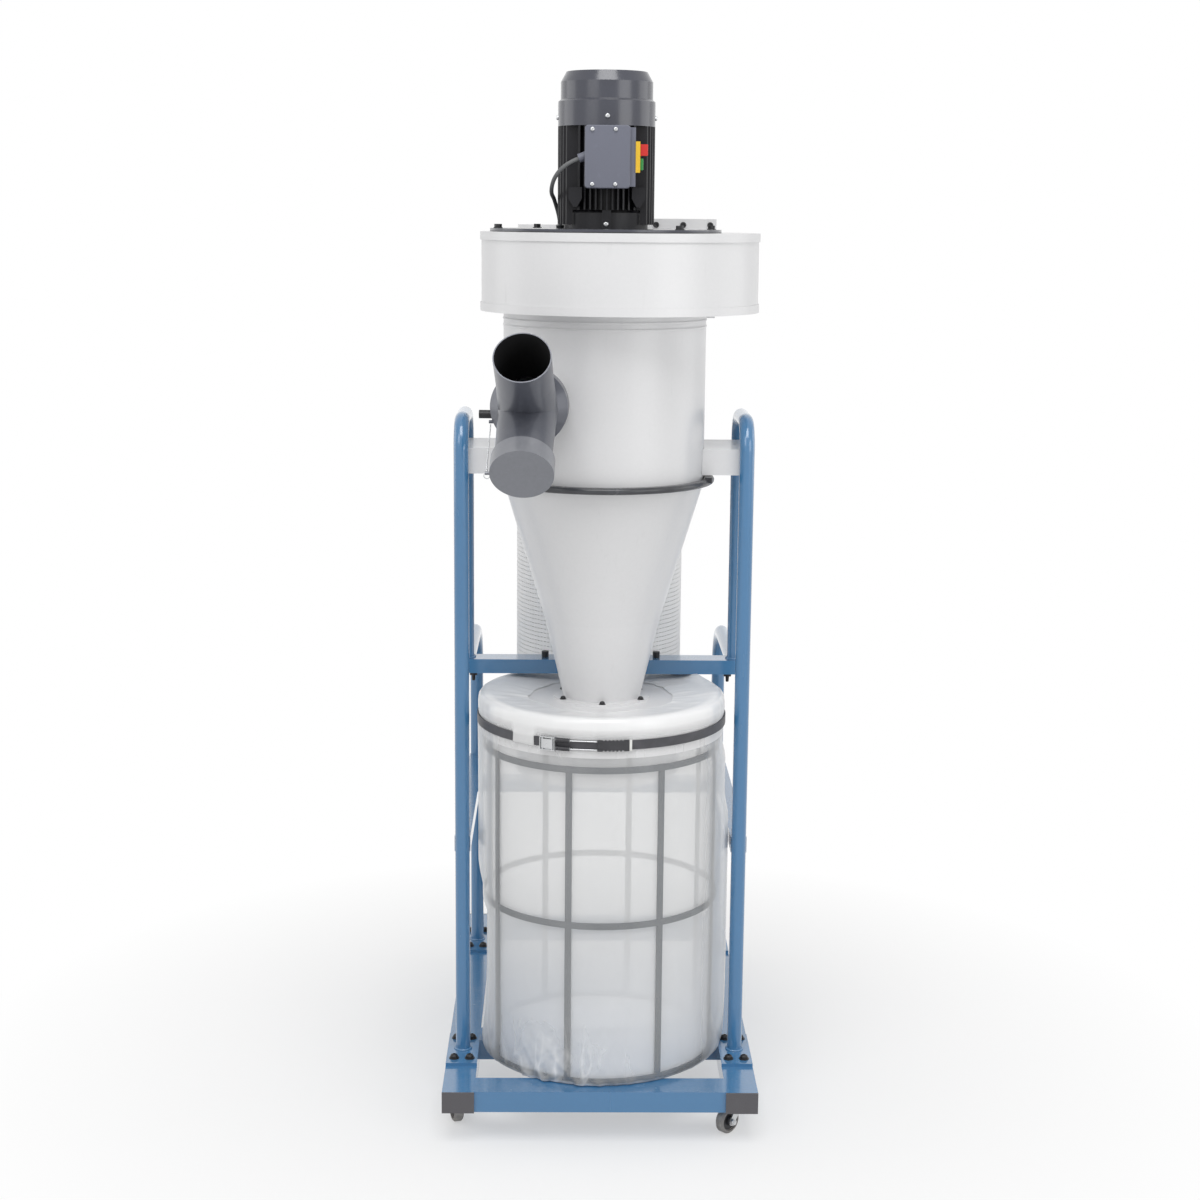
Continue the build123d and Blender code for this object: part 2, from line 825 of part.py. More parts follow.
def motor_body():
    """Core with four groups of straight cooling fins that end on one round envelope."""
    reach = motor_radius + fin_overrun
    first = -(fin_count - 1) / 2 * fin_pitch
    body = disc(motor_core_radius, body_bottom, body_top)
    side_low = body_bottom - side_fin_drop
    fins = Part()
    skirts = Part()
    for index in range(fin_count):
        place = first + index * fin_pitch
        low = place - fin_thickness / 2
        high = place + fin_thickness / 2
        fins += block(low, high, -reach, reach, body_bottom, body_top)
        fins += block(-reach, reach, low, high, body_bottom, body_top)
        skirts += block(-reach, reach, low, high, side_low, body_bottom)
    body += fins & disc(motor_radius, body_bottom, body_top)
    skirts &= ring(motor_radius, end_bell_radius + side_fin_gap, side_low, body_bottom)
    return body + skirts + foot_pad(-1) + foot_pad(1)


def cowl_form(inset):
    """Solid of the cowl's outside, or of its inside when set in by the sheet."""
    band = motor_radius - inset
    upper = cowl_upper_radius - inset
    crown = cowl_crown_radius - inset / 2
    top = motor_top - inset
    base = motor_top - cowl_crown_height
    return turned([
        (0, body_top), (band, body_top), (band, cowl_step - cowl_shoulder),
        (upper, cowl_step), (upper, base), (crown, top), (0, top),
    ])


def motor_fan_cowl():
    cowl = cowl_form(0) - cowl_form(sheet)
    spokes = Part()
    for index in range(grille_spokes // 2):
        bar = Box(2 * cowl_crown_radius, grille_spoke_width, 4 * sheet)
        spokes += Pos(0, 0, motor_top) * Rot(Z=index * 360 / grille_spokes) * bar
    for index in range(grille_rings):
        outer = cowl_crown_radius - grille_margin - index * grille_pitch
        slot = ring(outer, outer - grille_slot, motor_top - 2 * sheet, motor_top + sheet)
        cowl -= slot - spokes
    return cowl


# Switch box
box_low = switch_box_middle - switch_box_height / 2
box_high = switch_box_middle + switch_box_height / 2


def lead_gland():
    """Short round gland in line with the lead's first run."""
    exit_point = Vector(*lead_route[0])
    inward = (exit_point - Vector(*lead_route[1])).normalized()
    middle = exit_point + inward * ((gland_length + gland_root) / 2)
    return Plane(origin=middle, z_dir=inward) * Cylinder(gland_radius, gland_length + gland_root)


def switch_box():
    rear = -motor_core_radius / 2
    box = block(switch_box_left, switch_box_right, switch_box_front, rear, box_low, box_high)
    box -= disc(motor_radius + seat_gap, box_low, box_high)
    return box + lead_gland()


def switch_box_cover():
    half = cover_width / 2
    tall = cover_height / 2
    front = switch_box_front - cover_thickness
    cover = block(-half, half, front, switch_box_front, switch_box_middle - tall, switch_box_middle + tall)
    cover = fillet(cover.edges().filter_by(Axis.Y), cover_corner)
    return chamfer(cover.faces().sort_by(Axis.Y)[0].edges(), cover_edge)


def button_hole_places():
    """Heights of the stop and start buttons."""
    return {"stop": switch_box_middle + button_pitch / 2, "start": switch_box_middle - button_pitch / 2}


def switch_bezel():
    middle = Pos(switch_box_right + bezel_depth / 2, bezel_y, 0)
    bezel = middle * Pos(0, 0, switch_box_middle) * Box(bezel_depth, bezel_width, bezel_height)
    hole = Box(bezel_depth, button_width + 2 * seat_gap, button_height + 2 * seat_gap)
    for z in button_hole_places().values():
        bezel -= middle * Pos(0, 0, z) * hole
    return bezel


def push_button(name, rise):
    half = button_width / 2
    tall = button_height / 2
    z = button_hole_places()[name]
    inner = switch_box_right + button_travel + button_seat
    outer = switch_box_right + bezel_depth + rise
    button = block(inner, outer, bezel_y - half, bezel_y + half, z - tall, z + tall)
    return fillet(button.faces().sort_by(Axis.X)[-1].edges(), button_edge)


def lead_grommet():
    """Round grommet on the motor plate, in line with the lead's last run."""
    end = Vector(*lead_route[-1])
    onward = (end - Vector(*lead_route[-2])).normalized()
    length = 2 * (end.Z - motor_base)
    sleeve = Plane(origin=end + onward * (length / 2), z_dir=onward) * Cylinder(gland_radius, length)
    return sleeve & disc(2 * gland_radius, motor_base, end.Z + gland_radius, end.X, end.Y)


# Inlet wye
def branch_place(upward):
    return Pos(0, -wye_reach, 0) * Rot(X=90 - upward * wye_angle)


def branch(root, port):
    taper = branch_length - port_length
    return turned([
        (0, -branch_start), (root, -branch_start), (root, 0),
        (port, taper), (port, branch_length), (0, branch_length),
    ])


def chain_lug(x, y, z):
    """Short round lug that stands out to the left, from inside the wall to past the chain."""
    middle = x + (lug_root - lug_tip) / 2
    return Pos(middle, y, z) * Rot(Y=90) * Cylinder(lug_radius, lug_root + lug_tip)


def inlet_wye():
    bore = inlet_pipe_radius + seat_gap
    outside = forward(collar_radius, collar_back, collar_front)
    outside += forward(collar_radius, collar_front, wye_reach + wye_shoulder_lap, wye_shoulder_radius)
    step = inlet_pipe_end + 1
    tip = wye_reach + wye_shoulder_lap / 2
    inside = forward(bore, collar_back, step)
    inside += forward(bore, step, tip, wye_shoulder_radius - wye_wall)
    for upward in (-1, 1):
        outside += branch_place(upward) * branch(branch_root_radius, port_radius)
        inside += branch_place(upward) * branch(branch_root_radius - wye_wall, port_radius - wye_wall)
    start = Vector(*chain_route[0])
    level = start.Z + lug_radius + chain_diameter / 2
    return inlet_place * (outside - inside) + chain_lug(start.X, start.Y, level)


def port_cap():
    outside = Pos(0, 0, branch_length + (cap_end - cap_skirt) / 2) * Cylinder(cap_radius, cap_skirt + cap_end)
    skirt_space = Pos(0, 0, branch_length - cap_skirt / 2) * Cylinder(port_radius + seat_gap, cap_skirt)
    end = Vector(*chain_route[-1])
    ahead = end.Y - lug_radius - seat_gap
    return inlet_place * branch_place(-1) * (outside - skirt_space) + chain_lug(end.X, ahead, end.Z)


def collar_knob():
    middle = (collar_back + collar_front) / 2
    level = -knob_drop
    start = sqrt(collar_radius ** 2 - knob_drop ** 2)
    knob = Rot(Y=90) * Cylinder(knob_radius, knob_length + knob_radius)
    knob = Pos(-start - knob_length / 2, -middle, level) * knob
    knob -= forward(collar_radius + seat_gap, collar_back, collar_front)
    return inlet_place * knob


# Cords
def motor_lead():
    radii = cord_radii(lead_route)
    print("motor lead radii", [round(radius, 1) for radius in radii])
    return bent_tube(lead_diameter / 2, lead_route, radii)


def cap_chain():
    radii = cord_radii(chain_route)
    print("cap chain radii", [round(radius, 1) for radius in radii])
    return bent_tube(chain_diameter / 2, chain_route, radii)


# All nodes by name
def build_nodes():
    casters = caster_places()
    nodes = {
        "left_base_rail": base_rail(-1),
        "right_base_rail": base_rail(1),
        "front_base_member": base_member(front_member_edge, front_member_depth),
        "middle_base_member": base_member(middle_member_edge, middle_member_depth),
        "rear_base_member": base_member(rear_member_edge, front_member_depth),
        "rail_end_caps": [rail_end_cap(side, end) for side in (-1, 1) for end in (-1, 1)],
        "left_front_post": front_post(-1),
        "right_front_post": front_post(1),
        "left_rear_post": rear_post(-1),
        "right_rear_post": rear_post(1),
        "upper_crossmember": upper_crossmember(),
        "left_side_rail": side_rail(-1),
        "right_side_rail": side_rail(1),
        "filter_crossmember": filter_crossmember(),
        "lid_hangers": [lid_hanger(-hanger_spacing / 2), lid_hanger(hanger_spacing / 2)],
        "cyclone_barrel": cyclone_barrel(),
        "inlet_pipe": inlet_pipe(),
        "left_support_arm": support_arm(-1),
        "right_support_arm": support_arm(1),
        "cyclone_cone": cyclone_cone(),
        "clamp_ring": clamp_ring(),
        "bin_lid": bin_lid(),
        "bag_cage": bag_cage(),
        "dust_bag": dust_bag(),
        "bag_strap": bag_strap(),
        "strap_buckle": strap_buckle(),
        "housing_top_pan": housing_top_pan(),
        "housing_wrapper": housing_wrapper(),
        "housing_bottom_pan": housing_bottom_pan(),
        "outlet_neck": outlet_neck(),
        "filter_head": filter_head(),
        "filter_canister": filter_canister(),
        "filter_pan": filter_pan(),
        "plate_gasket": plate_gasket(),
        "motor_plate": motor_plate(),
        "motor_end_bell": motor_end_bell(),
        "motor_body": motor_body(),
        "motor_fan_cowl": motor_fan_cowl(),
        "switch_box": switch_box(),
        "switch_box_cover": switch_box_cover(),
        "switch_bezel": switch_bezel(),
        "stop_button": push_button("stop", stop_button_rise),
        "start_button": push_button("start", start_button_rise),
        "motor_lead": motor_lead(),
        "lead_grommet": lead_grommet(),
        "inlet_wye": inlet_wye(),
        "port_cap": port_cap(),
        "collar_knob": collar_knob(),
        "cap_chain": cap_chain(),
        "caster_plates": [place * caster_plate() for place in casters.values()],
    }
    for name, place in casters.items():
        turn = Rot(Z=caster_turns[name])
        nodes[f"{name}_caster_fork"] = place * turn * caster_fork()
        nodes[f"{name}_caster_wheel"] = place * turn * caster_wheel()
    return nodes


def save(nodes):
    """Writes each node with the origin under the middle of the whole machine."""
    front = nodes["port_cap"].bounding_box().min.Y
    shift = Pos(0, -(front + rail_rear) / 2, 0)
    print("cyclone axis at y", round(-(front + rail_rear) / 2, 3))
    os.makedirs("parts", exist_ok=True)
    for name, shape in nodes.items():
        pieces = shape if isinstance(shape, list) else [shape]
        solids = [solid for piece in pieces for solid in piece.solids()]
        export_step(shift * Compound(children=solids), f"parts/{name}.step")


save(build_nodes())
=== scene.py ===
import json
import math
from itertools import product

import bmesh
import bpy
from bpy.props import FloatProperty, FloatVectorProperty, IntProperty, PointerProperty
from bpy.types import Operator, Panel, PropertyGroup
from mathutils import Matrix, Vector, noise


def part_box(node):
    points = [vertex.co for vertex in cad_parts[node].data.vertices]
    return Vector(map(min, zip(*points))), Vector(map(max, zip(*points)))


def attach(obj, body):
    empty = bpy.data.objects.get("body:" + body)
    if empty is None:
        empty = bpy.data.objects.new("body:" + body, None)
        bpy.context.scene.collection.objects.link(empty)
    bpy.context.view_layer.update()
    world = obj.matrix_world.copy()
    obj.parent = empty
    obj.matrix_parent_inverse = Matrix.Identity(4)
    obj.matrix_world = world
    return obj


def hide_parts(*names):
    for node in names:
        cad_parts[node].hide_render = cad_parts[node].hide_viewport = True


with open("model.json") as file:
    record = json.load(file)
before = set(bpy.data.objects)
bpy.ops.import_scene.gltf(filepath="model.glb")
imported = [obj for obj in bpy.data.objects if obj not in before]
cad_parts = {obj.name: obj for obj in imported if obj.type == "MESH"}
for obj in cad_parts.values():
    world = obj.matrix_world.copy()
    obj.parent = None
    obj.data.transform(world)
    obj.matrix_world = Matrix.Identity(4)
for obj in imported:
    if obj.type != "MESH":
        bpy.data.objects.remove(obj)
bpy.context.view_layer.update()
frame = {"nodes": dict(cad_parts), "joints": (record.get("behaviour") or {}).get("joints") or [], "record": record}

bl_info = {
    "name": "Mobile cyclone separator",
    "version": (1, 0, 0),
    "blender": (4, 5, 0),
    "location": "3D View > Sidebar > Separator",
    "description": "Finishes, film bag, cords and fasteners of a cyclone dust separator on casters",
    "category": "Add Mesh",
}

# Places taken from the frame
LID_LOW, LID_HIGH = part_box("bin_lid")
AXIS = (LID_LOW + LID_HIGH) / 2
PLATE_LOW, PLATE_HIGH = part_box("motor_plate")
COVER_LOW, COVER_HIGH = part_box("switch_box_cover")
CANISTER_LOW, CANISTER_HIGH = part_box("filter_canister")
STRAP_LOW, STRAP_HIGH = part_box("bag_strap")
BAG_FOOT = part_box("dust_bag")[0]
INLET = next(mount for mount in frame["record"]["mounts"] if mount["name"] == "upper_inlet_bore")
JOINTS = {joint["name"]: joint for joint in frame["joints"]}
CORNERS = ("left_front", "right_front", "left_rear", "right_rear")

# Ways that fasteners face
UP = (0.0, 0.0, 1.0)
DOWN = (0.0, 0.0, -1.0)
FRONT = (0.0, -1.0, 0.0)

# Where the posts stand on the base rails
RAIL_LOW, RAIL_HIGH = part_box("right_base_rail")
RAIL_X = (RAIL_LOW.x + RAIL_HIGH.x) / 2
FOOT_PLATE = 0.006
PLATE_TOP = RAIL_HIGH.z + FOOT_PLATE
FRONT_POST_Y = AXIS.y - 0.062
REAR_POST_Y = AXIS.y + 0.557
MEMBER_Y = AXIS.y + 0.140

# Heights of the three rings of the bag cage
CAGE_RINGS = (0.1128, 0.4175, 0.7150)

# Control points of the two cords, from the cyclone's axis
LEAD_ROUTE = (
    (-0.0510, -0.1040, 1.8085), (-0.0620, -0.1040, 1.8040), (-0.0740, -0.1020, 1.7970),
    (-0.0855, -0.0965, 1.7870), (-0.0940, -0.0865, 1.7750), (-0.0985, -0.0715, 1.7630),
    (-0.1000, -0.0525, 1.7530), (-0.0995, -0.0305, 1.7465), (-0.0975, -0.0080, 1.7425),
    (-0.0955, 0.0120, 1.7385), (-0.0938, 0.0285, 1.7325), (-0.0913, 0.0410, 1.7245),
    (-0.0883, 0.0505, 1.7140), (-0.0858, 0.0563, 1.7028), (-0.0843, 0.0585, 1.6915),
)
CHAIN_ROUTE = (
    (-0.2040, -0.2170, 1.3450), (-0.2050, -0.2360, 1.3250), (-0.2060, -0.2580, 1.3070),
    (-0.2070, -0.2830, 1.2930), (-0.2070, -0.3100, 1.2830), (-0.2060, -0.3370, 1.2770),
    (-0.2050, -0.3610, 1.2760),
)

# The nodes that share each finish
FINISHED_NODES = {
    "frame_blue": (
        "left_base_rail", "right_base_rail", "front_base_member", "middle_base_member",
        "rear_base_member", "left_front_post", "right_front_post", "left_rear_post",
        "right_rear_post", "upper_crossmember", "left_side_rail", "right_side_rail",
        "filter_crossmember",
    ),
    "body_white": (
        "cyclone_barrel", "inlet_pipe", "cyclone_cone", "left_support_arm", "right_support_arm",
        "bin_lid", "housing_top_pan", "housing_wrapper", "housing_bottom_pan", "outlet_neck",
        "filter_head", "filter_pan",
    ),
    "motor_enamel": ("motor_end_bell", "motor_body"),
    "cowl_enamel": ("motor_fan_cowl", "motor_plate"),
    "box_plastic": ("switch_box", "switch_box_cover"),
    "wye_grey": ("inlet_wye",),
    "port_cap_grey": ("port_cap",),
    "cap_plastic": ("rail_end_caps",),
    "black_rubber": ("plate_gasket", "lead_grommet"),
    "ring_coat": ("clamp_ring",),
    "black_fitting": ("lid_hangers", "collar_knob"),
    "cage_steel": ("bag_cage",),
    "strap_band": ("bag_strap",),
    "buckle_steel": ("strap_buckle",),
    "bright_plate": ("caster_plates",) + tuple(corner + "_caster_fork" for corner in CORNERS),
    "filter_paper": ("filter_canister",),
    "bezel_yellow": ("switch_bezel",),
    "stop_red": ("stop_button",),
    "start_green": ("start_button",),
    "bag_film": ("dust_bag",),
    "lead_sheath": ("motor_lead",),
    "chain_plate": ("cap_chain",),
}


def colour(label, use, default):
    """A paint or plastic colour that a user may change."""
    return FloatVectorProperty(
        name=label, description=use, subtype="COLOR", size=3, min=0.0, max=1.0, default=default
    )


def distance(label, use, default):
    """A size in metres that a user may change."""
    return FloatProperty(
        name=label, description=use, subtype="DISTANCE", unit="LENGTH", precision=4, default=default
    )


def turn(label, use, degrees):
    """An angle that a user may change."""
    return FloatProperty(
        name=label, description=use, subtype="ANGLE", unit="ROTATION", default=math.radians(degrees)
    )


def share(label, use, default):
    """A share from nothing to all."""
    return FloatProperty(
        name=label, description=use, subtype="FACTOR", min=0.0, max=1.0, default=default
    )


def power(label, use, default):
    """The power of a lamp."""
    return FloatProperty(name=label, description=use, unit="POWER", min=0.0, default=default)


def count(label, use, default):
    """How many of a thing there are."""
    return IntProperty(name=label, description=use, min=1, default=default)


class SeparatorColours(PropertyGroup):
    """Colours of the paints, plastics and metals."""

    blue: colour("Frame blue", "Powder coat of the tube frame", (0.048, 0.180, 0.365))
    white: colour(
        "Body white", "Powder coat of the cyclone, the fan housing and the lid", (0.73, 0.73, 0.737)
    )
    # Also the colour of the painted edge highlights on the motor enamel.
    dust: colour("Dust", "Fine wood dust on faces that look up", (0.60, 0.58, 0.54))
    motor: colour("Motor black", "Enamel of the finned motor body", (0.010, 0.010, 0.013))
    cowl: colour("Cowl black", "Enamel of the fan cowl and the motor plate", (0.045, 0.048, 0.066))
    box: colour("Box grey", "Moulded switch box and its cover", (0.150, 0.158, 0.200))
    wye: colour("Wye grey", "Moulded inlet wye", (0.090, 0.096, 0.118))
    port_cap: colour("Port cap grey", "Moulded cap of the lower port", (0.205, 0.212, 0.235))
    end_cap: colour("End cap grey", "Plugs in the ends of the base rails", (0.092, 0.089, 0.097))
    rubber: colour("Rubber black", "Gasket and grommet", (0.016, 0.017, 0.019))
    ring: colour(
        "Clamp ring", "Coated band over the joint of barrel and cone", (0.050, 0.052, 0.058)
    )
    fitting: colour("Fitting black", "Black oxide of bolts and knobs", (0.020, 0.020, 0.022))
    cage: colour("Cage grey", "Coated steel strip of the bag cage", (0.042, 0.055, 0.068))
    strap: colour("Strap grey", "Band round the neck of the bag", (0.056, 0.056, 0.064))
    steel: colour("Bright steel", "Zinc plate of casters, screws and buckle", (0.63, 0.64, 0.65))
    tyre: colour("Tyre grey", "Rubber tread of the casters", (0.260, 0.247, 0.237))
    hub: colour("Hub grey", "Plastic hub of the casters", (0.035, 0.035, 0.038))
    paper: colour("Filter white", "Pleated medium of the filter", (0.90, 0.90, 0.89))
    yellow: colour("Bezel yellow", "Plate behind the switch buttons", (0.80, 0.50, 0.03))
    red: colour("Stop red", "Stop button", (0.62, 0.025, 0.020))
    green: colour("Start green", "Start button", (0.025, 0.26, 0.05))
    film: colour("Film", "Clear film of the dust bag", (0.95, 0.953, 0.955))
    sheath: colour("Lead grey", "Sheath of the motor lead", (0.170, 0.175, 0.185))
    sleeve: colour("Sleeve white", "Mesh sleeve round the pleats", (0.90, 0.90, 0.90))
    tip: colour("Tip white", "Moulded end of the strap", (0.78, 0.78, 0.76))


class SeparatorBag(PropertyGroup):
    """The film bag that hangs from the lid."""

    columns: count("Columns", "Points round the bag", 400)
    rows: count("Rows", "Points up the wall of the bag", 120)
    haze_columns: count("Haze columns", "Points round the haze layer", 128)
    wall: distance("Wall radius", "Radius of the slack film above the middle ring", 0.2335)
    cage: distance("Cage radius", "Radius that the film keeps outside the bars and rings", 0.2280)
    outer: distance("Greatest radius", "The slackest folds reach here", 0.2480)
    drawn: distance("Draw between bars", "How far the film is drawn in between two bars", 0.0110)
    bar_turn: turn("First bar", "Angle of a cage bar from the front", 29.0)
    hem: distance("Hem radius", "Edge of the film on top of the lid", 0.1350)
    fold: distance("Fold depth", "Depth of the folds below the strap", 0.0024)
    crumple: distance("Crumple depth", "Depth of the crumples at the foot", 0.0075)
    bulge: distance("Right bulge", "How far the slack film stands out on the right", 0.0160)
    clearness: share("Film alpha", "How much the film hides", 0.23)
    veil: distance("Haze radius", "Radius of the haze layer inside the cage", 0.2195)
    haze: share("Haze alpha", "How much the haze layer hides", 0.50)


class SeparatorFasteners(PropertyGroup):
    """Bolts, screws and washers."""

    foot_head: distance("Foot bolt head", "Width of the domed bolts of the foot plates", 0.0150)
    flange_head: distance("Flange bolt head", "Width of the domed bolts of the cone flange", 0.0100)
    flange_circle: distance("Flange bolt circle", "Radius of the cone flange bolts", 0.0850)
    flange_count: count("Flange bolts", "Bolts round the cone flange", 6)
    plate_head: distance("Plate bolt head", "Width of the hexagon bolts of the motor plate", 0.0130)
    plate_circle: distance("Plate bolt circle", "Radius of the motor plate bolts", 0.2000)
    plate_count: count("Plate bolts", "Bolts round the motor plate", 6)
    cover_head: distance("Cover screw head", "Width of the screws of the switch cover", 0.0078)
    cowl_head: distance("Cowl screw head", "Width of the screws of the fan cowl", 0.0088)
    outlet_head: distance("Outlet bolt head", "Width of the bolts of the outlet flange", 0.0090)
    axle_head: distance("Axle head", "Width of the caster axle heads", 0.0095)


class SeparatorStage(PropertyGroup):
    """Camera, floor and lamps."""

    eye: FloatVectorProperty(
        name="Camera place", description="Where the camera stands", subtype="XYZ", unit="LENGTH",
        size=3, default=(-0.06367, -4.01274, 1.70872)
    )
    lens: FloatProperty(
        name="Lens", description="Focal length on a sensor 36 mm wide", unit="CAMERA", default=61.72
    )
    pitch: turn("Pitch", "How far the camera looks down", 10.58)
    yaw: turn("Yaw", "How far the camera looks to the right", 0.88)
    roll: turn("Roll", "How far the camera leans", 0.51)
    floor: colour("Floor", "Pale floor under the casters", (0.86, 0.86, 0.86))
    floor_radius: distance("Floor radius", "Radius of the round floor", 9.0)
    floor_lift: share("Floor lift", "Least share of white that the camera sees on the floor", 0.45)
    fade_from: distance("Fade from", "The floor starts to fade to white here", 0.40)
    fade_to: distance("Fade to", "The floor is white from here", 1.35)
    ambient: share("Ambient", "Strength of the even light from all sides", 0.40)
    key: power("Key lamp", "Large lamp in front on the left", 31.0)
    fill: power("Fill lamp", "Large lamp in front on the right", 29.0)
    top: power("Top lamp", "Large lamp high above in front", 200.0)
    rim: power("Rim lamps", "Lamps on both sides", 10.0)


class Wire:
    """A shader socket that takes part in Python sums."""

    def __init__(self, finish, socket):
        self.finish = finish
        self.socket = socket

    def sum(self, operation, first, second):
        return self.finish.add("ShaderNodeMath", {"operation": operation}, {0: first, 1: second})

    def __add__(self, other):
        return self.sum("ADD", self, other)

    def __radd__(self, other):
        return self.sum("ADD", other, self)

    def __sub__(self, other):
        return self.sum("SUBTRACT", self, other)

    def __rsub__(self, other):
        return self.sum("SUBTRACT", other, self)

    def __mul__(self, other):
        return self.sum("MULTIPLY", self, other)

    def __rmul__(self, other):
        return self.sum("MULTIPLY", other, self)

    def __pow__(self, other):
        return self.sum("POWER", self, other)

    def __abs__(self):
        return self.sum("ABSOLUTE", self, 0.0)

    def __mod__(self, other):
        return self.sum("FLOORED_MODULO", self, other)


class Nodes:
    """A node tree and short ways to fill it."""

    def __init__(self, tree):
        self.tree = tree
        self.tree.nodes.clear()

    def add(self, kind, settings=None, sockets=None, out=0):
        """Adds a node, sets it up, then feeds its sockets with values or wires."""
        node = self.tree.nodes.new(kind)
        for key, value in (settings or {}).items():
            setattr(node, key, value)
        for key, value in (sockets or {}).items():
            self.feed(node.inputs[key], value)
        return Wire(self, node.outputs[out]) if len(node.outputs) else None

    def feed(self, socket, value):
        if isinstance(value, Wire):
            self.tree.links.new(value.socket, socket)
        elif socket.type == "RGBA" and len(value) == 3:
            socket.default_value = (*value, 1.0)
        else:
            socket.default_value = value

    def place(self, scale=(1.0, 1.0, 1.0), centre=(0.0, 0.0, 0.0), turned=(0.0, 0.0, 0.0)):
        """Object coordinates, centred, turned and stretched."""
        where = self.add("ShaderNodeTexCoord", out="Object")
        moved = self.add("ShaderNodeVectorMath", {"operation": "SUBTRACT"}, {0: where, 1: centre})
        sockets = {"Vector": moved, "Rotation": turned, "Scale": scale}
        return self.add("ShaderNodeMapping", None, sockets)

    def noise(self, at, scale, detail):
        sockets = {"Vector": at, "Scale": scale, "Detail": detail}
        return self.add("ShaderNodeTexNoise", None, sockets, out="Fac")

    def cells(self, at, scale):
        sockets = {"Vector": at, "Scale": scale}
        return self.add("ShaderNodeTexVoronoi", None, sockets, out="Distance")

    def part(self, vector, axis):
        return self.add("ShaderNodeSeparateXYZ", None, {0: vector}, out=axis)

    def dot(self, first, second):
        """How far one vector goes along another."""
        sockets = {0: first, 1: second}
        return self.add("ShaderNodeVectorMath", {"operation": "DOT_PRODUCT"}, sockets, out="Value")

    def bearing(self, around):
        """Angle round the cyclone's axis; 0 is the front and the right is above it."""
        sockets = {0: self.part(around, "X"), 1: 0.0 - self.part(around, "Y")}
        return self.add("ShaderNodeMath", {"operation": "ARCTAN2"}, sockets)

    def edges(self, radius):
        """1 on edges, from how much a rounded normal leaves the real one."""
        flat = self.add("ShaderNodeNewGeometry", out="Normal")
        rounded = self.add("ShaderNodeBevel", {"samples": 4}, {"Radius": radius})
        return 1.0 - self.span(self.dot(flat, rounded), 0.80, 0.99)

    def span(self, value, low, high):
        """0 below low, 1 above high and even between."""
        return self.add(
            "ShaderNodeMapRange", {"clamp": True}, {"Value": value, 1: low, 2: high, 3: 0.0, 4: 1.0}
        )

    def band(self, value, rise, fall):
        """1 between two ramps and 0 outside them."""
        return self.span(value, *rise) * (1.0 - self.span(value, *fall))

    def blend(self, factor, first, second):
        """Mixes two colours."""
        sockets = {0: factor, 6: first, 7: second}
        return self.add("ShaderNodeMix", {"data_type": "RGBA"}, sockets, out=2)

    def tone(self, shade, amount):
        """A colour made lighter or darker by a wire."""
        grey = self.add("ShaderNodeCombineColor", None, {0: amount, 1: amount, 2: amount})
        settings = {"data_type": "RGBA", "blend_type": "MULTIPLY"}
        return self.add("ShaderNodeMix", settings, {0: 1.0, 6: shade, 7: grey}, out=2)

    def upward(self):
        """1 on faces that look up."""
        normal = self.add("ShaderNodeNewGeometry", out="Normal")
        return self.span(self.part(normal, "Z"), 0.55, 0.98)

    def relief(self, height, depth):
        """Bump of a depth in metres."""
        sockets = {"Height": height, "Distance": depth, "Strength": 1.0}
        return self.add("ShaderNodeBump", None, sockets)


class Finish(Nodes):
    """A material and the nodes that make it."""

    def __init__(self, name):
        self.material = bpy.data.materials.new(name)
        self.material.use_nodes = True
        super().__init__(self.material.node_tree)
        self.shader = self.tree.nodes.new("ShaderNodeBsdfPrincipled")
        self.output = self.tree.nodes.new("ShaderNodeOutputMaterial")
        self.tree.links.new(self.shader.outputs[0], self.output.inputs[0])

    def surface(self, **sockets):
        """Feeds the shader, with socket names written in small letters."""
        for key, value in sockets.items():
            name = key.replace("_", " ").title().replace("Ior", "IOR")
            self.feed(self.shader.inputs[name], value)


def shades():
    return bpy.context.scene.separator_colours


def painted_steel(name, shade, peel, dusty, gloss, coat):
    """Powder coat with an orange-peel skin, soft tone changes, rub marks and dust on top."""
    finish = Finish(name)
    at = finish.place()
    broad = finish.noise(at, 2.2, 3.0)
    cloud = finish.noise(at, 22.0, 3.0)
    speck = finish.noise(at, 160.0, 2.0)
    streak = finish.noise(finish.place((26.0, 26.0, 2.4)), 4.0, 4.0)
    rub = finish.span(streak, 0.60, 0.78) * finish.span(cloud, 0.45, 0.65)
    dust = finish.upward() * finish.span(cloud * 0.6 + speck * 0.4, 0.40, 0.72) * dusty
    paint = finish.tone(shade, 0.94 + 0.10 * broad + 0.04 * (speck - 0.5) - 0.05 * rub)
    skin = finish.noise(at, 620.0, 1.0) + 0.35 * finish.noise(at, 1900.0, 0.0)
    finish.surface(
        base_color=finish.blend(dust, paint, shades().dust),
        roughness=gloss + 0.10 * cloud + 0.08 * rub + 0.35 * dust,
        normal=finish.relief(skin, peel),
        coat_weight=coat,
        coat_roughness=0.7 * gloss,
    )
    return finish.material


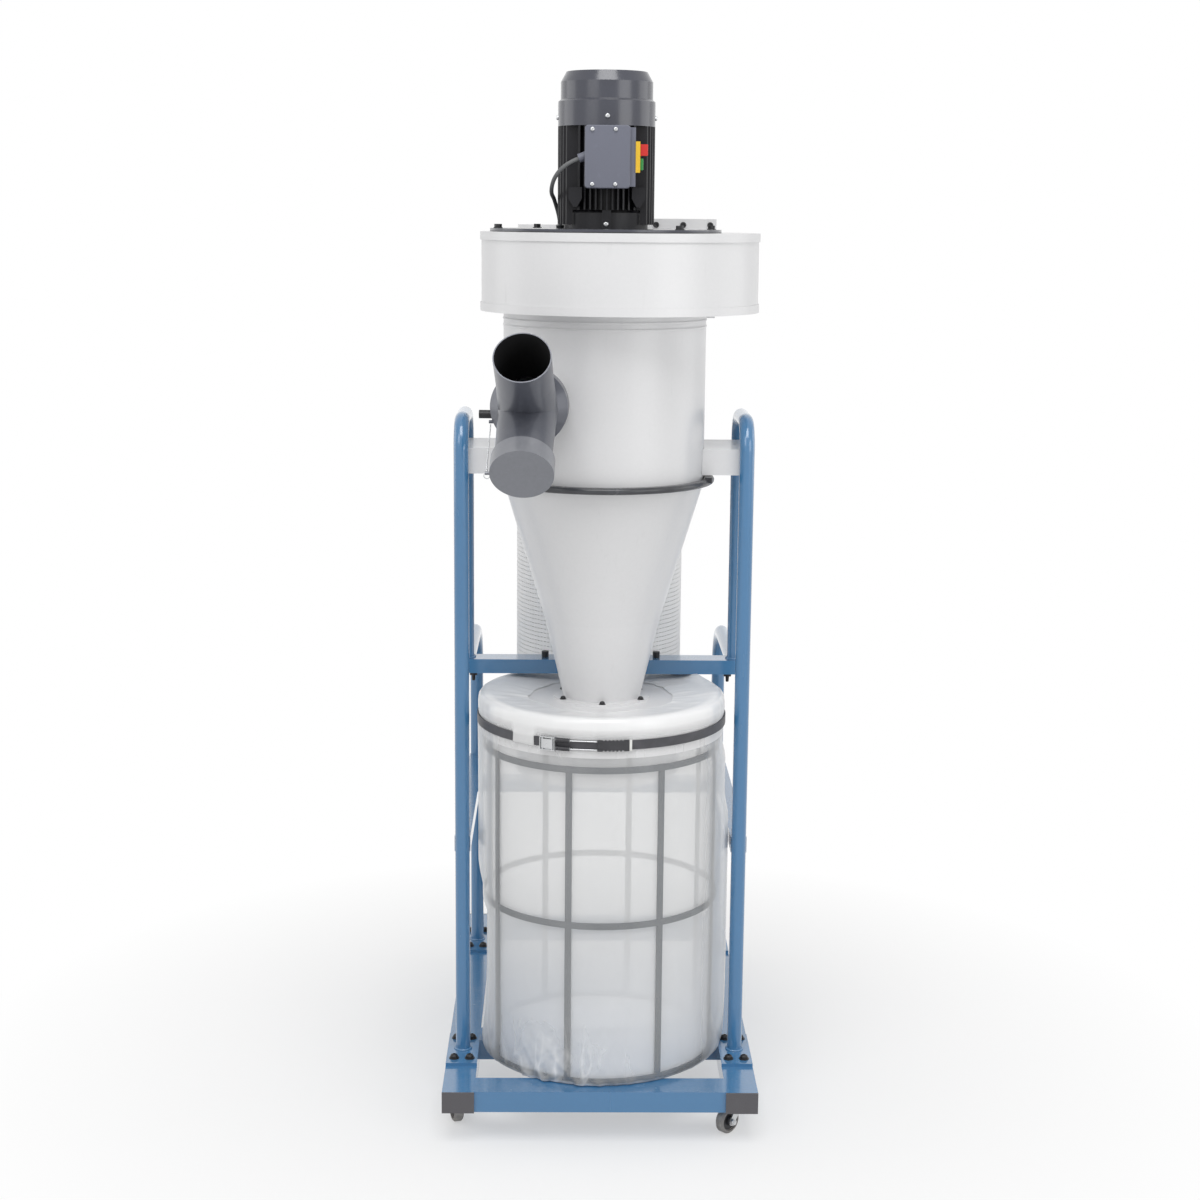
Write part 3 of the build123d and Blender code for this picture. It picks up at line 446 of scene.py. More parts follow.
def cast_enamel(name, shade, grain, gloss, shine):
    """Enamel over a casting or a pressing, with sand grain, dust on top and painted highlights on patches of its
    edges.
    """
    finish = Finish(name)
    at = finish.place()
    sand = finish.noise(at, 520.0, 3.0)
    pits = finish.span(finish.cells(at, 330.0), 0.05, 0.40)
    cloud = finish.noise(at, 16.0, 4.0)
    dust = finish.upward() * finish.span(cloud, 0.42, 0.75) * 0.20
    tone = finish.tone(shade, 0.85 + 0.30 * cloud + 0.25 * (sand - 0.5))
    # Painted highlight: patches of the edges are lightened toward the dust colour.
    painted_edge_highlight = finish.edges(0.0014) * finish.span(cloud, 0.30, 0.60) * 0.12 * shine
    finish.surface(
        base_color=finish.blend(dust + painted_edge_highlight, tone, shades().dust),
        roughness=gloss + 0.14 * cloud + 0.3 * dust,
        normal=finish.relief(sand + 0.5 * pits, grain),
        specular_ior_level=0.20 + shine,
        coat_weight=shine,
        coat_roughness=0.18,
    )
    return finish.material


def moulded_plastic(name, shade, grain, gloss, scale=900.0):
    """Moulded plastic with a spark-eroded grain, faint flow marks and handling scuffs."""
    finish = Finish(name)
    at = finish.place()
    erosion = finish.noise(at, scale, 2.0)
    flow = finish.noise(finish.place((3.0, 9.0, 1.0)), 5.0, 4.0)
    scuff = finish.noise(finish.place((8.0, 60.0, 8.0), turned=(0.3, 0.7, 0.5)), 7.0, 5.0)
    mark = finish.span(scuff, 0.62, 0.80)
    cloud = finish.noise(at, 30.0, 3.0)
    tone = finish.tone(shade, 0.90 + 0.14 * flow + 0.10 * (erosion - 0.5) + 0.16 * mark)
    finish.surface(
        base_color=tone,
        roughness=gloss + 0.10 * cloud + 0.14 * mark,
        normal=finish.relief(erosion, grain),
    )
    return finish.material


def wye_finish(name, shade):
    """Grey moulded fitting with a satin sheen, flow streaks and fine scratches; the inside of the open port is
    painted near black as painted shade.
    """
    finish = Finish(name)
    at = finish.place()
    drawn = finish.noise(finish.place((60.0, 4.0, 60.0)), 3.0, 4.0)
    cloud = finish.noise(at, 18.0, 4.0)
    fine = finish.noise(at, 1200.0, 1.0)
    scratch = finish.span(finish.noise(finish.place((14.0, 120.0, 30.0)), 6.0, 4.0), 0.64, 0.80)
    dust = finish.upward() * finish.span(cloud, 0.45, 0.75) * 0.16
    # Painted shade: the inside of the open port is painted near black.
    throat_shade = throat_mask(finish)
    tone = finish.tone(shade, 0.86 + 0.16 * drawn + 0.12 * cloud + 0.20 * scratch)
    outside = finish.blend(dust, tone, shades().dust)
    finish.surface(
        base_color=finish.blend(throat_shade, outside, (0.004, 0.004, 0.005)),
        metallic=(0.35 - 0.25 * dust) * (1.0 - throat_shade),
        roughness=0.25 + 0.14 * cloud + 0.10 * drawn + 0.25 * dust + 0.40 * throat_shade,
        normal=finish.relief(fine + 0.6 * drawn, 0.00003),
        coat_weight=0.30 - 0.30 * throat_shade,
        coat_roughness=0.12,
    )
    return finish.material


def throat_mask(finish):
    """1 inside the open port, on faces that look at its axis."""
    way = INLET["axis"]
    at = finish.place(centre=INLET["pos_m"])
    normal = finish.add("ShaderNodeNewGeometry", out="Normal")
    along = finish.dot(at, way)
    radius = (finish.dot(at, at) - along * along) ** 0.5
    facing = finish.dot(at, normal) - along * finish.dot(normal, way)
    inward = 1.0 - finish.span(facing, -0.020, -0.005)
    return inward * (1.0 - finish.span(radius, 0.0512, 0.0520))


def plated_steel(name, shade, grain, gloss, metal=1.0):
    """Zinc or coated steel with a faint spangle, tarnish and rub marks."""
    finish = Finish(name)
    at = finish.place()
    spangle = finish.cells(at, 240.0)
    tarnish = finish.noise(at, 38.0, 4.0)
    brushed = finish.noise(finish.place((30.0, 30.0, 420.0)), 3.0, 3.0)
    tone = finish.tone(shade, 0.84 + 0.22 * tarnish + 0.12 * (spangle - 0.4))
    finish.surface(
        base_color=tone,
        metallic=metal,
        roughness=gloss + 0.16 * tarnish + 0.06 * brushed,
        normal=finish.relief(brushed + 0.4 * spangle, grain),
    )
    return finish.material


def ring_rubber(name, shade, gloss):
    """Soft black rubber with a bloom and a fine skin."""
    finish = Finish(name)
    at = finish.place()
    bloom = finish.noise(at, 24.0, 4.0)
    skin = finish.noise(at, 800.0, 2.0)
    finish.surface(
        base_color=finish.tone(shade, 0.75 + 0.7 * finish.span(bloom, 0.35, 0.8)),
        roughness=gloss + 0.22 * bloom,
        normal=finish.relief(skin, 0.00004),
    )
    return finish.material


def strap_finish(name, shade):
    """Ribbed band with a cross weave and worn, paler crowns."""
    finish = Finish(name)
    around = finish.place(centre=AXIS)
    warp = abs((finish.bearing(around) * 118.0) % 1.0 - 0.5)
    weft = abs((finish.part(around, "Z") * 620.0) % 1.0 - 0.5)
    weave = finish.span(warp + weft, 0.15, 0.85)
    wear = finish.noise(around, 45.0, 4.0)
    crown = finish.span(wear, 0.45, 0.8)
    finish.surface(
        base_color=finish.tone(shade, 0.72 + 0.35 * weave + 0.45 * crown),
        roughness=0.34 + 0.20 * wear,
        normal=finish.relief(weave, 0.00022),
    )
    return finish.material


def buckle_finish(name, steel, band):
    """Bright tray and links, dark springs and rack, told apart by their angle round the lid."""
    finish = Finish(name)
    around = finish.place(centre=AXIS)
    bearing = finish.bearing(around) * (180.0 / math.pi)
    tray = 1.0 - finish.span(bearing, -20.9, -20.5)
    links = finish.band(bearing, (-14.6, -14.2), (-2.9, -2.5))
    bright = tray + links
    tarnish = finish.noise(around, 60.0, 4.0)
    brushed = finish.noise(finish.place((30.0, 30.0, 420.0)), 3.0, 3.0)
    metal = finish.tone(steel, 0.80 + 0.30 * tarnish)
    dark = finish.tone(band, 0.45 + 0.40 * tarnish)
    finish.surface(
        base_color=finish.blend(bright, dark, metal),
        metallic=bright,
        roughness=0.36 - 0.16 * bright + 0.14 * tarnish,
        normal=finish.relief(brushed, 0.00003),
    )
    return finish.material


def paper_finish(name, shade):
    """Pleated filter paper with fibres and grey dust loaded toward the foot."""
    finish = Finish(name)
    at = finish.place()
    fibre = finish.noise(finish.place((1.0, 1.0, 0.25)), 900.0, 3.0)
    cloud = finish.noise(at, 14.0, 4.0)
    loaded = 1.0 - finish.span(finish.part(at, "Z"), CANISTER_LOW.z, CANISTER_HIGH.z)
    grey = finish.span(cloud + 0.25 * loaded, 0.45, 0.95) * 0.22
    tone = finish.tone(shade, 0.95 + 0.10 * (fibre - 0.5))
    finish.surface(
        base_color=finish.blend(grey, tone, shades().dust),
        roughness=0.86 + 0.08 * fibre,
        normal=finish.relief(fibre, 0.00025),
    )
    return finish.material


def wheel_finish(name, corner):
    """Grey tread on a dark hub, told apart by the distance from the axle."""
    finish = Finish(name)
    joint = JOINTS[corner + "_wheel_spin"]
    axle = Vector(joint["axis"]).normalized()
    at = finish.place(centre=joint["pos_m"])
    along = finish.dot(at, axle)
    radius = (finish.dot(at, at) - along * along) ** 0.5
    tread = finish.span(radius, 0.0176, 0.0182)
    wear = finish.span(finish.noise(at, 90.0, 4.0), 0.40, 0.70)
    worn = finish.span(radius, 0.0240, 0.0250) * wear
    grit = finish.noise(at, 420.0, 3.0)
    rubber = finish.tone(shades().tyre, 0.80 + 0.40 * grit)
    dusty = finish.blend(worn * 0.5, rubber, shades().dust)
    hub = finish.tone(shades().hub, 0.85 + 0.3 * grit)
    finish.surface(
        base_color=finish.blend(tread, hub, dusty),
        roughness=0.42 + 0.25 * tread + 0.10 * grit,
        normal=finish.relief(grit, 0.00010),
    )
    return finish.material


def crease_lines(finish, turned, scale):
    """1 on the lines where a stretched noise crosses its middle."""
    field = finish.noise(finish.place((1.3, 1.3, 0.60), turned=turned), scale, 2.0)
    return 1.0 - 2.0 * abs(field - 0.5)


def film_finish(name, shade, hiding):
    """Thin clear film, whiter where it covers the strap, with painted highlights on the crumples at its foot,
    painted sheen on its sides, a painted highlight over the lid and painted shade on the bag's floor.
    """
    finish = Finish(name)
    at = finish.place(centre=AXIS)
    height = finish.part(finish.place(), "Z")
    crease = crease_lines(finish, (0.5, 0.4, 0.2), 8.0)
    cross = crease_lines(finish, (-0.6, 0.5, 0.9), 12.0)
    bearing = finish.bearing(at)
    front = 1.0 - finish.span(abs(bearing + 0.34), 0.28, 0.66)
    foot = (1.0 - finish.span(height, 0.14, 0.24)) * (0.10 + 0.90 * front)
    neck = finish.band(height, (0.72, 0.75), (0.775, 0.78))
    zone = foot + 0.12 * neck
    lines = finish.span(crease, 0.82, 1.0) ** 2.0 + 0.6 * finish.span(cross, 0.86, 1.0) ** 2.0
    # Painted highlights: crease lines and soft patches, mostly at the foot, are made whiter and more opaque to
    # stand in for glints on the crumples.
    painted_crease_glints = zone * lines
    painted_glint_patches = foot * finish.span(finish.noise(at, 11.0, 3.0), 0.52, 0.66)
    over_strap = finish.band(bearing, (-0.80, -0.76), (-0.57, -0.53))
    covered = over_strap * finish.span(height, STRAP_LOW.z - 0.004, STRAP_LOW.z)
    lid = finish.span(height, STRAP_HIGH.z + 0.004, STRAP_HIGH.z + 0.020)
    streak = finish.noise(finish.place((1.0, 1.0, 0.10)), 22.0, 2.0)
    haze = finish.noise(at, 6.0, 2.0)
    below = 1.0 - lid
    # Painted sheen: the film is made milkier on the sides of the bag, where the camera sees it at a grazing angle.
    sides = finish.band(abs(bearing), (0.95, 1.35), (1.9, 2.3)) * below
    # Painted shade: the film on the bag's floor is made a darker blue-grey and more opaque.
    under = 1.0 - finish.span(height, BAG_FOOT.z + 0.003, BAG_FOOT.z + 0.007)
    painted_crease_highlights = 0.22 * painted_crease_glints + 0.16 * painted_glint_patches
    # Painted highlight: the film above the strap gets much more alpha, which lightens the top of the lid.
    milky_and_painted_light = painted_crease_highlights + 0.64 * lid + 0.48 * covered * below + 0.54 * sides + 0.45 * under
    finish.surface(
        base_color=finish.blend(under, shade, (0.52, 0.56, 0.62)),
        roughness=0.16 + 0.14 * haze,
        alpha=hiding + 0.08 * (haze - 0.5) + 0.08 * (streak - 0.5) + milky_and_painted_light,
        normal=finish.relief(0.30 * streak + zone * (crease + 0.6 * cross), 0.0034),
        specular_ior_level=0.5,
        ior=1.49,
    )
    return finish.material


def haze_finish(name, shade, hiding):
    """Haze of the film over what stands behind it, thicker toward the bottom, with painted shade that makes it
    darker and bluer toward the bottom, most of all on the left.
    """
    finish = Finish(name)
    at = finish.place(centre=AXIS)
    height = finish.part(finish.place(), "Z")
    cloud = finish.noise(at, 4.0, 3.0)
    # Painted shade: a darker blue-grey toward the bottom, stronger on the left; the haze is also thicker toward
    # the bottom.
    lower_haze_and_shade = 1.0 - finish.span(height, 0.14, 0.40)
    left = 1.0 - finish.span(finish.part(at, "X") + 0.10 * (cloud - 0.5), -0.08, 0.20)
    finish.surface(
        base_color=finish.blend(lower_haze_and_shade * (0.30 + 0.65 * left), shade, (0.55, 0.60, 0.68)),
        roughness=0.55 + 0.10 * cloud,
        alpha=hiding + 0.30 * lower_haze_and_shade + 0.12 * (cloud - 0.5),
        specular_ior_level=0.1,
    )
    return finish.material


def sheath_finish(name, shade):
    """Soft grey cable sheath with a satin skin."""
    finish = Finish(name)
    at = finish.place()
    skin = finish.noise(at, 900.0, 2.0)
    cloud = finish.noise(at, 60.0, 3.0)
    finish.surface(
        base_color=finish.tone(shade, 0.85 + 0.30 * cloud),
        roughness=0.40 + 0.18 * cloud,
        normal=finish.relief(skin, 0.00005),
    )
    return finish.material


def finishes():
    """Every finish by name."""
    hue = shades()
    bag = bpy.context.scene.separator_bag
    recipes = {
        "frame_blue": (painted_steel, hue.blue, 0.00005, 0.05, 0.18, 1.0),
        "body_white": (painted_steel, hue.white, 0.00005, 0.10, 0.30, 0.22),
        "motor_enamel": (cast_enamel, hue.motor, 0.00016, 0.36, 0.08),
        "cowl_enamel": (cast_enamel, hue.cowl, 0.00004, 0.16, 0.34),
        "box_plastic": (moulded_plastic, hue.box, 0.00010, 0.42),
        "wye_grey": (wye_finish, hue.wye),
        "port_cap_grey": (wye_finish, hue.port_cap),
        "cap_plastic": (moulded_plastic, hue.end_cap, 0.00025, 0.50, 420.0),
        "black_rubber": (ring_rubber, hue.rubber, 0.30),
        "ring_coat": (ring_rubber, hue.ring, 0.12),
        "black_fitting": (plated_steel, hue.fitting, 0.00003, 0.30, 0.35),
        "cage_steel": (plated_steel, hue.cage, 0.00003, 0.44, 0.25),
        "strap_band": (strap_finish, hue.strap),
        "buckle_steel": (buckle_finish, hue.steel, hue.strap),
        "bright_plate": (plated_steel, hue.steel, 0.00004, 0.24),
        "filter_paper": (paper_finish, hue.paper),
        "bezel_yellow": (moulded_plastic, hue.yellow, 0.00004, 0.30),
        "stop_red": (moulded_plastic, hue.red, 0.00003, 0.24),
        "start_green": (moulded_plastic, hue.green, 0.00003, 0.24),
        "bag_film": (film_finish, hue.film, bag.clearness),
        "film_haze": (haze_finish, hue.film, bag.haze),
        "sleeve_white": (moulded_plastic, hue.sleeve, 0.00004, 0.45),
        "tip_white": (moulded_plastic, hue.tip, 0.00004, 0.35),
        "lead_sheath": (sheath_finish, hue.sheath),
        "chain_plate": (plated_steel, hue.steel, 0.00002, 0.18),
    }
    made = {name: make(name, *values) for name, (make, *values) in recipes.items()}
    for corner in CORNERS:
        made[corner + "_wheel"] = wheel_finish(corner + "_wheel", corner)
    return made


def from_axis(point):
    """A point given from the cyclone's axis, in the row frame."""
    return Vector((AXIS.x + point[0], AXIS.y + point[1], point[2]))


def on_circle(radius, angle, height):
    """A point round the cyclone's axis; 0 is the front and a quarter turn is the right."""
    return from_axis((radius * math.sin(angle), -radius * math.cos(angle), height))


def round_noise(scale, angle, height):
    """Smooth noise that closes on itself round the axis."""
    return noise.noise((scale * math.cos(angle), scale * math.sin(angle), height))


def let_go():
    """Leaves edit mode and clears the selection."""
    if bpy.context.object is not None and bpy.context.object.mode != "OBJECT":
        bpy.ops.object.mode_set(mode="OBJECT")
    bpy.ops.object.select_all(action="DESELECT")


def take(piece):
    """Makes a piece the only one selected."""
    let_go()
    piece.select_set(True)
    bpy.context.view_layer.objects.active = piece
    return piece


def label(piece, name):
    piece.name = name
    piece.data.name = name
    return piece


def stand(name, sides, radius, height, top=None, foot=0.0):
    """A round or many-sided blank that stands on a height."""
    let_go()
    bpy.ops.mesh.primitive_cone_add(
        vertices=sides, radius1=radius, radius2=radius if top is None else top, depth=height,
        location=(0.0, 0.0, foot + height / 2)
    )
    bpy.ops.object.transform_apply(location=True, rotation=False, scale=False)
    return label(bpy.context.object, name)


def block(name, width, depth, height, middle):
    """A square blank about a middle."""
    let_go()
    bpy.ops.mesh.primitive_cube_add(size=1.0, location=middle)
    piece = label(bpy.context.object, name)
    piece.scale = (width, depth, height)
    bpy.ops.object.transform_apply(location=True, rotation=False, scale=True)
    return piece


def mark(piece, kind, test):
    """Goes into edit mode with the faces, edges or points selected that pass a test."""
    take(piece)
    bpy.ops.object.mode_set(mode="EDIT")
    bpy.ops.mesh.select_mode(type=kind)
    bpy.ops.mesh.select_all(action="DESELECT")
    mesh = bmesh.from_edit_mesh(piece.data)
    parts = {"FACE": mesh.faces, "EDGE": mesh.edges, "VERT": mesh.verts}[kind]
    for part in parts:
        part.select_set(bool(test(part)))
    bmesh.update_edit_mesh(piece.data)


def round_off(piece, test, width, segments, profile=0.5):
    """Rounds the edges that pass a test."""
    mark(piece, "EDGE", test)
    bpy.ops.mesh.bevel(offset=width, segments=segments, profile=profile, affect="EDGES")
    bpy.ops.object.mode_set(mode="OBJECT")


def carve(piece, cutter):
    """Cuts one piece out of another and removes the cutter."""
    take(piece)
    cut = piece.modifiers.new("carve", "BOOLEAN")
    cut.operation = "DIFFERENCE"
    cut.solver = "EXACT"
    cut.object = cutter
    bpy.ops.object.modifier_apply(modifier=cut.name)
    bpy.data.objects.remove(cutter)


def fuse(name, pieces):
    """Joins pieces into the first one."""
    take(pieces[0])
    for piece in pieces[1:]:
        piece.select_set(True)
    if len(pieces) > 1:
        bpy.ops.object.join()
    return label(bpy.context.object, name)


def level(height, tolerance=1e-5):
    """A test for edges that lie at one height."""
    return lambda edge: all(abs(point.co.z - height) < tolerance for point in edge.verts)


def seat(point, outward, spin=0.0):
    """The place of a fastener that stands on a point and faces outward."""
    turned = Vector(outward).to_track_quat("Z", "Y").to_matrix().to_4x4()
    return Matrix.Translation(point) @ turned @ Matrix.Rotation(spin, 4, "Z")


def spread(name, model, places):
    """Copies a model to every place, joins the copies and removes the model."""
    copies = []
    for place in places:
        take(model)
        bpy.ops.object.duplicate(linked=False)
        copy = bpy.context.object
        copy.matrix_world = place
        copies.append(copy)
    bpy.data.objects.remove(model)
    piece = fuse(name, copies)
    bpy.ops.object.transform_apply(location=True, rotation=True, scale=True)
    return piece


def hand_over(piece, finish, body="frame", smooth=32.0):
    """Shades a finished piece, paints it and lets it ride on a body."""
    take(piece)
    bpy.ops.object.shade_smooth_by_angle(angle=math.radians(smooth))
    piece.data.materials.clear()
    piece.data.materials.append(bpy.data.materials[finish])
    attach(piece, body)
    return piece


def domed_bolt(name, head):
    """A domed bolt with a washer and a six-sided socket."""
    washer_height = 0.11 * head
    washer = stand(name + "_washer", 32, 0.64 * head, washer_height)
    round_off(washer, level(washer_height), 0.05 * head, 2)
    dome_top = washer_height + 0.46 * head
    dome = stand(name, 32, 0.50 * head, 0.46 * head, foot=washer_height)
    round_off(dome, level(dome_top), 0.34 * head, 6)
    carve(dome, stand(name + "_socket", 6, 0.17 * head, 0.60 * head, foot=dome_top - 0.24 * head))
    return fuse(name, [dome, washer])


def hexagon_bolt(name, head, rise=0.58):
    """A low hexagon bolt with a washer face and rounded corners."""
    washer_height = 0.12 * head
    washer = stand(name + "_washer", 32, 0.66 * head, washer_height)
    round_off(washer, level(washer_height), 0.04 * head, 2)
    body = stand(name, 6, 0.56 * head, rise * head - washer_height, foot=washer_height)
    round_off(body, lambda edge: not level(washer_height)(edge), 0.045 * head, 2)
    mark(body, "FACE", lambda face: face.normal.z > 0.95)
    bpy.ops.mesh.inset(thickness=0.09 * head, depth=-0.05 * head)
    bpy.ops.object.mode_set(mode="OBJECT")
    return fuse(name, [body, washer])


def cross_screw(name, head):
    """A pan-head screw with a cross recess."""
    top = 0.42 * head
    screw = stand(name, 28, 0.50 * head, top)
    round_off(screw, level(top), 0.26 * head, 4)
    long, narrow = 0.62 * head, 0.12 * head
    for width, depth in ((long, narrow), (narrow, long)):
        carve(screw, block(name + "_slot", width, depth, 0.40 * head, (0.0, 0.0, top)))
    return screw


def bead_ring(name, radius, bead, beads):
    """A weld bead that runs round a tube, with a ripple at each pass of the torch."""
    let_go()
    bpy.ops.mesh.primitive_torus_add(
        major_radius=radius, minor_radius=bead, major_segments=3 * beads, minor_segments=8
    )
    piece = label(bpy.context.object, name)
    step = 2 * math.pi / (3 * beads)
    mark(piece, "VERT", lambda point: round(math.atan2(point.co.y, point.co.x) / step) % 3 == 0)
    bpy.ops.transform.shrink_fatten(value=0.22 * bead)
    bpy.ops.object.mode_set(mode="OBJECT")
    return piece


def route_curve(name, route):
    """One smooth spline with the route's points as its control points."""
    curve = bpy.data.curves.new(name, "CURVE")
    curve.dimensions = "3D"
    spline = curve.splines.new("NURBS")
    spline.points.add(len(route) - 1)
    for point, place in zip(spline.points, route):
        point.co = (*from_axis(place), 1.0)
    spline.order_u = 3
    spline.use_endpoint_u = True
    spline.resolution_u = 12
    curve.bevel_resolution = 5
    piece = bpy.data.objects.new(name, curve)
    bpy.context.scene.collection.objects.link(piece)
    return piece


def curve_points(piece):
    """Points along a curve that has no bevel."""
    mesh = bpy.data.meshes.new_from_object(piece)
    points = [point.co.copy() for point in mesh.vertices]
    bpy.data.meshes.remove(mesh)
    return points


def run_length(points):
    return sum((after - before).length for before, after in zip(points, points[1:]))


def evenly(points, pitch):
    """Points a pitch apart along a line, each with the line's direction there."""
    found = []
    left = pitch / 2
    for before, after in zip(points, points[1:]):
        step = after - before
        while left <= step.length:
            found.append((before + step.normalized() * left, step.normalized()))
            left += pitch
        left -= step.length
    return found


def ease(value, low, high):
    """0 below low, 1 above high and smooth between."""
    part = min(1.0, max(0.0, (value - low) / (high - low)))
    return part * part * (3.0 - 2.0 * part)


class SEPARATOR_OT_stage(Operator):
    """Set the camera, the floor, the lamps and the white background"""

    bl_idname = "separator.stage"
    bl_label = "Stage"

    def execute(self, context):
        stage = context.scene.separator_stage
        self.camera(context, stage)
        self.floor(stage)
        self.world(context, stage)
        middle = Vector((0.0, -0.10, 1.0))
        self.lamp("key_lamp", (-2.3, -3.4, 3.2), middle, 2.2, stage.key)
        self.lamp("fill_lamp", (2.7, -3.0, 2.0), middle, 2.2, stage.fill)
        self.lamp("top_lamp", (0.0, -3.4, 6.4), middle, 3.6, stage.top)
        self.lamp("left_rim_lamp", (-3.0, 0.5, 1.7), middle, 1.8, stage.rim)
        self.lamp("right_rim_lamp", (3.0, 0.5, 1.7), middle, 1.8, stage.rim)
        context.scene.view_settings.view_transform = "Standard"
        return {"FINISHED"}

    def camera(self, context, stage):
        across = Vector((math.cos(stage.yaw), -math.sin(stage.yaw), 0.0))
        ahead = Vector((math.sin(stage.yaw), math.cos(stage.yaw), 0.0))
        forward = ahead * math.cos(stage.pitch) - Vector((0.0, 0.0, math.sin(stage.pitch)))
        up = across.cross(forward)
        right = across * math.cos(stage.roll) + up * math.sin(stage.roll)
        up = up * math.cos(stage.roll) - across * math.sin(stage.roll)
        let_go()
        bpy.ops.object.camera_add()
        camera = label(context.object, "photo_camera")
        camera.matrix_world = (
            Matrix.Translation(stage.eye) @ Matrix((right, up, -forward)).transposed().to_4x4()
        )
        camera.data.lens = stage.lens
        camera.data.sensor_width = 36.0
        context.scene.camera = camera

    def lamp(self, name, place, target, size, watts):
        let_go()
        bpy.ops.object.light_add(type="AREA", location=place)
        lamp = label(bpy.context.object, name)
        lamp.data.shape = "SQUARE"
        lamp.data.size = size
        lamp.data.energy = watts
        lamp.rotation_euler = (target - Vector(place)).to_track_quat("-Z", "Y").to_euler()

    def floor(self, stage):
        let_go()
        bpy.ops.mesh.primitive_circle_add(
            vertices=96, radius=stage.floor_radius, fill_type="TRIFAN", location=(0.0, 0.0, -0.0004)
        )
        floor = label(bpy.context.object, "pale_floor")
        finish = Finish("pale_floor")
        at = finish.place()
        reach = finish.add("ShaderNodeVectorMath", {"operation": "LENGTH"}, {0: at}, out="Value")
        seen = self.seen(finish)
        white = finish.add("ShaderNodeEmission", None, {"Color": (1.0, 1.0, 1.0), "Strength": 1.0})
        finish.surface(base_color=stage.floor, roughness=0.6, specular_ior_level=0.2)
        fade = finish.span(reach, stage.fade_from, stage.fade_to)
        far = (stage.floor_lift + (1.0 - stage.floor_lift) * fade) * seen
        mixed = finish.add("ShaderNodeMixShader", None, {0: far, 2: white})
        finish.tree.links.new(finish.shader.outputs[0], mixed.socket.node.inputs[1])
        finish.feed(finish.output.inputs[0], mixed)
        floor.data.materials.append(finish.material)

    def seen(self, finish):
        """1 for rays that show the background to the camera."""
        kinds = ("Camera", "Glossy", "Transmission")
        rays = [finish.add("ShaderNodeLightPath", out=f"Is {kind} Ray") for kind in kinds]
        return finish.span(rays[0] + rays[1] + rays[2], 0.0, 1.0)

    def world(self, context, stage):
        world = bpy.data.worlds.new("white_room")
        context.scene.world = world
        world.use_nodes = True
        room = Nodes(world.node_tree)
        strength = stage.ambient + (1.0 - stage.ambient) * self.seen(room)
        sockets = {"Color": (1.0, 1.0, 1.0), "Strength": strength}
        shine = room.add("ShaderNodeBackground", None, sockets)
        room.add("ShaderNodeOutputWorld", None, {"Surface": shine})


class SEPARATOR_OT_finish_nodes(Operator):
    """Give every node of the frame its paint, plastic, rubber or metal"""

    bl_idname = "separator.finish_nodes"
    bl_label = "Finishes"

    def execute(self, context):
        made = finishes()
        todo = dict(frame["nodes"])
        groups = dict(FINISHED_NODES)
        for corner in CORNERS:
            groups[corner + "_wheel"] = (corner + "_caster_wheel",)
        for finish, names in groups.items():
            for name in names:
                node = todo.pop(name)
                for place in node.material_slots:
                    place.material = made[finish]
        if todo:
            raise RuntimeError(f"no finish for {sorted(todo)}")
        return {"FINISHED"}


class SEPARATOR_OT_motor_lead(Operator):
    """Lay the motor lead from the gland of the switch box to the motor plate"""

    bl_idname = "separator.motor_lead"
    bl_label = "Motor lead"

    def execute(self, context):
        lead = route_curve("motor_lead_sheath", LEAD_ROUTE)
        length = run_length(curve_points(lead))
        lead.data.bevel_depth = 0.00375
        lead.data.use_fill_caps = True
        lead.data.materials.append(bpy.data.materials["lead_sheath"])
        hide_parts("motor_lead")
        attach(lead, "frame")
        tuple(from_axis(LEAD_ROUTE[0]))
        return {"FINISHED"}


class SEPARATOR_OT_cap_chain(Operator):
    """Hang the bead chain between the collar and the port cap"""

    bl_idname = "separator.cap_chain"
    bl_label = "Cap chain"

    def execute(self, context):
        line = route_curve("chain_line", CHAIN_ROUTE)
        points = curve_points(line)
        line.data.bevel_depth = 0.00045
        line.data.bevel_resolution = 1
        take(line)
        bpy.ops.object.convert(target="MESH")
        wire = bpy.context.object
        let_go()
        bpy.ops.mesh.primitive_uv_sphere_add(segments=10, ring_count=7, radius=0.00125)
        bead = label(bpy.context.object, "chain_bead")
        places = [seat(point, way) for point, way in evenly(points, 0.0031)]
        beads = spread("chain_beads", bead, places)
        chain = fuse("cap_bead_chain", [beads, wire])
        hand_over(chain, "chain_plate", smooth=60.0)
        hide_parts("cap_chain")
        tuple(from_axis(CHAIN_ROUTE[0]))
        return {"FINISHED"}


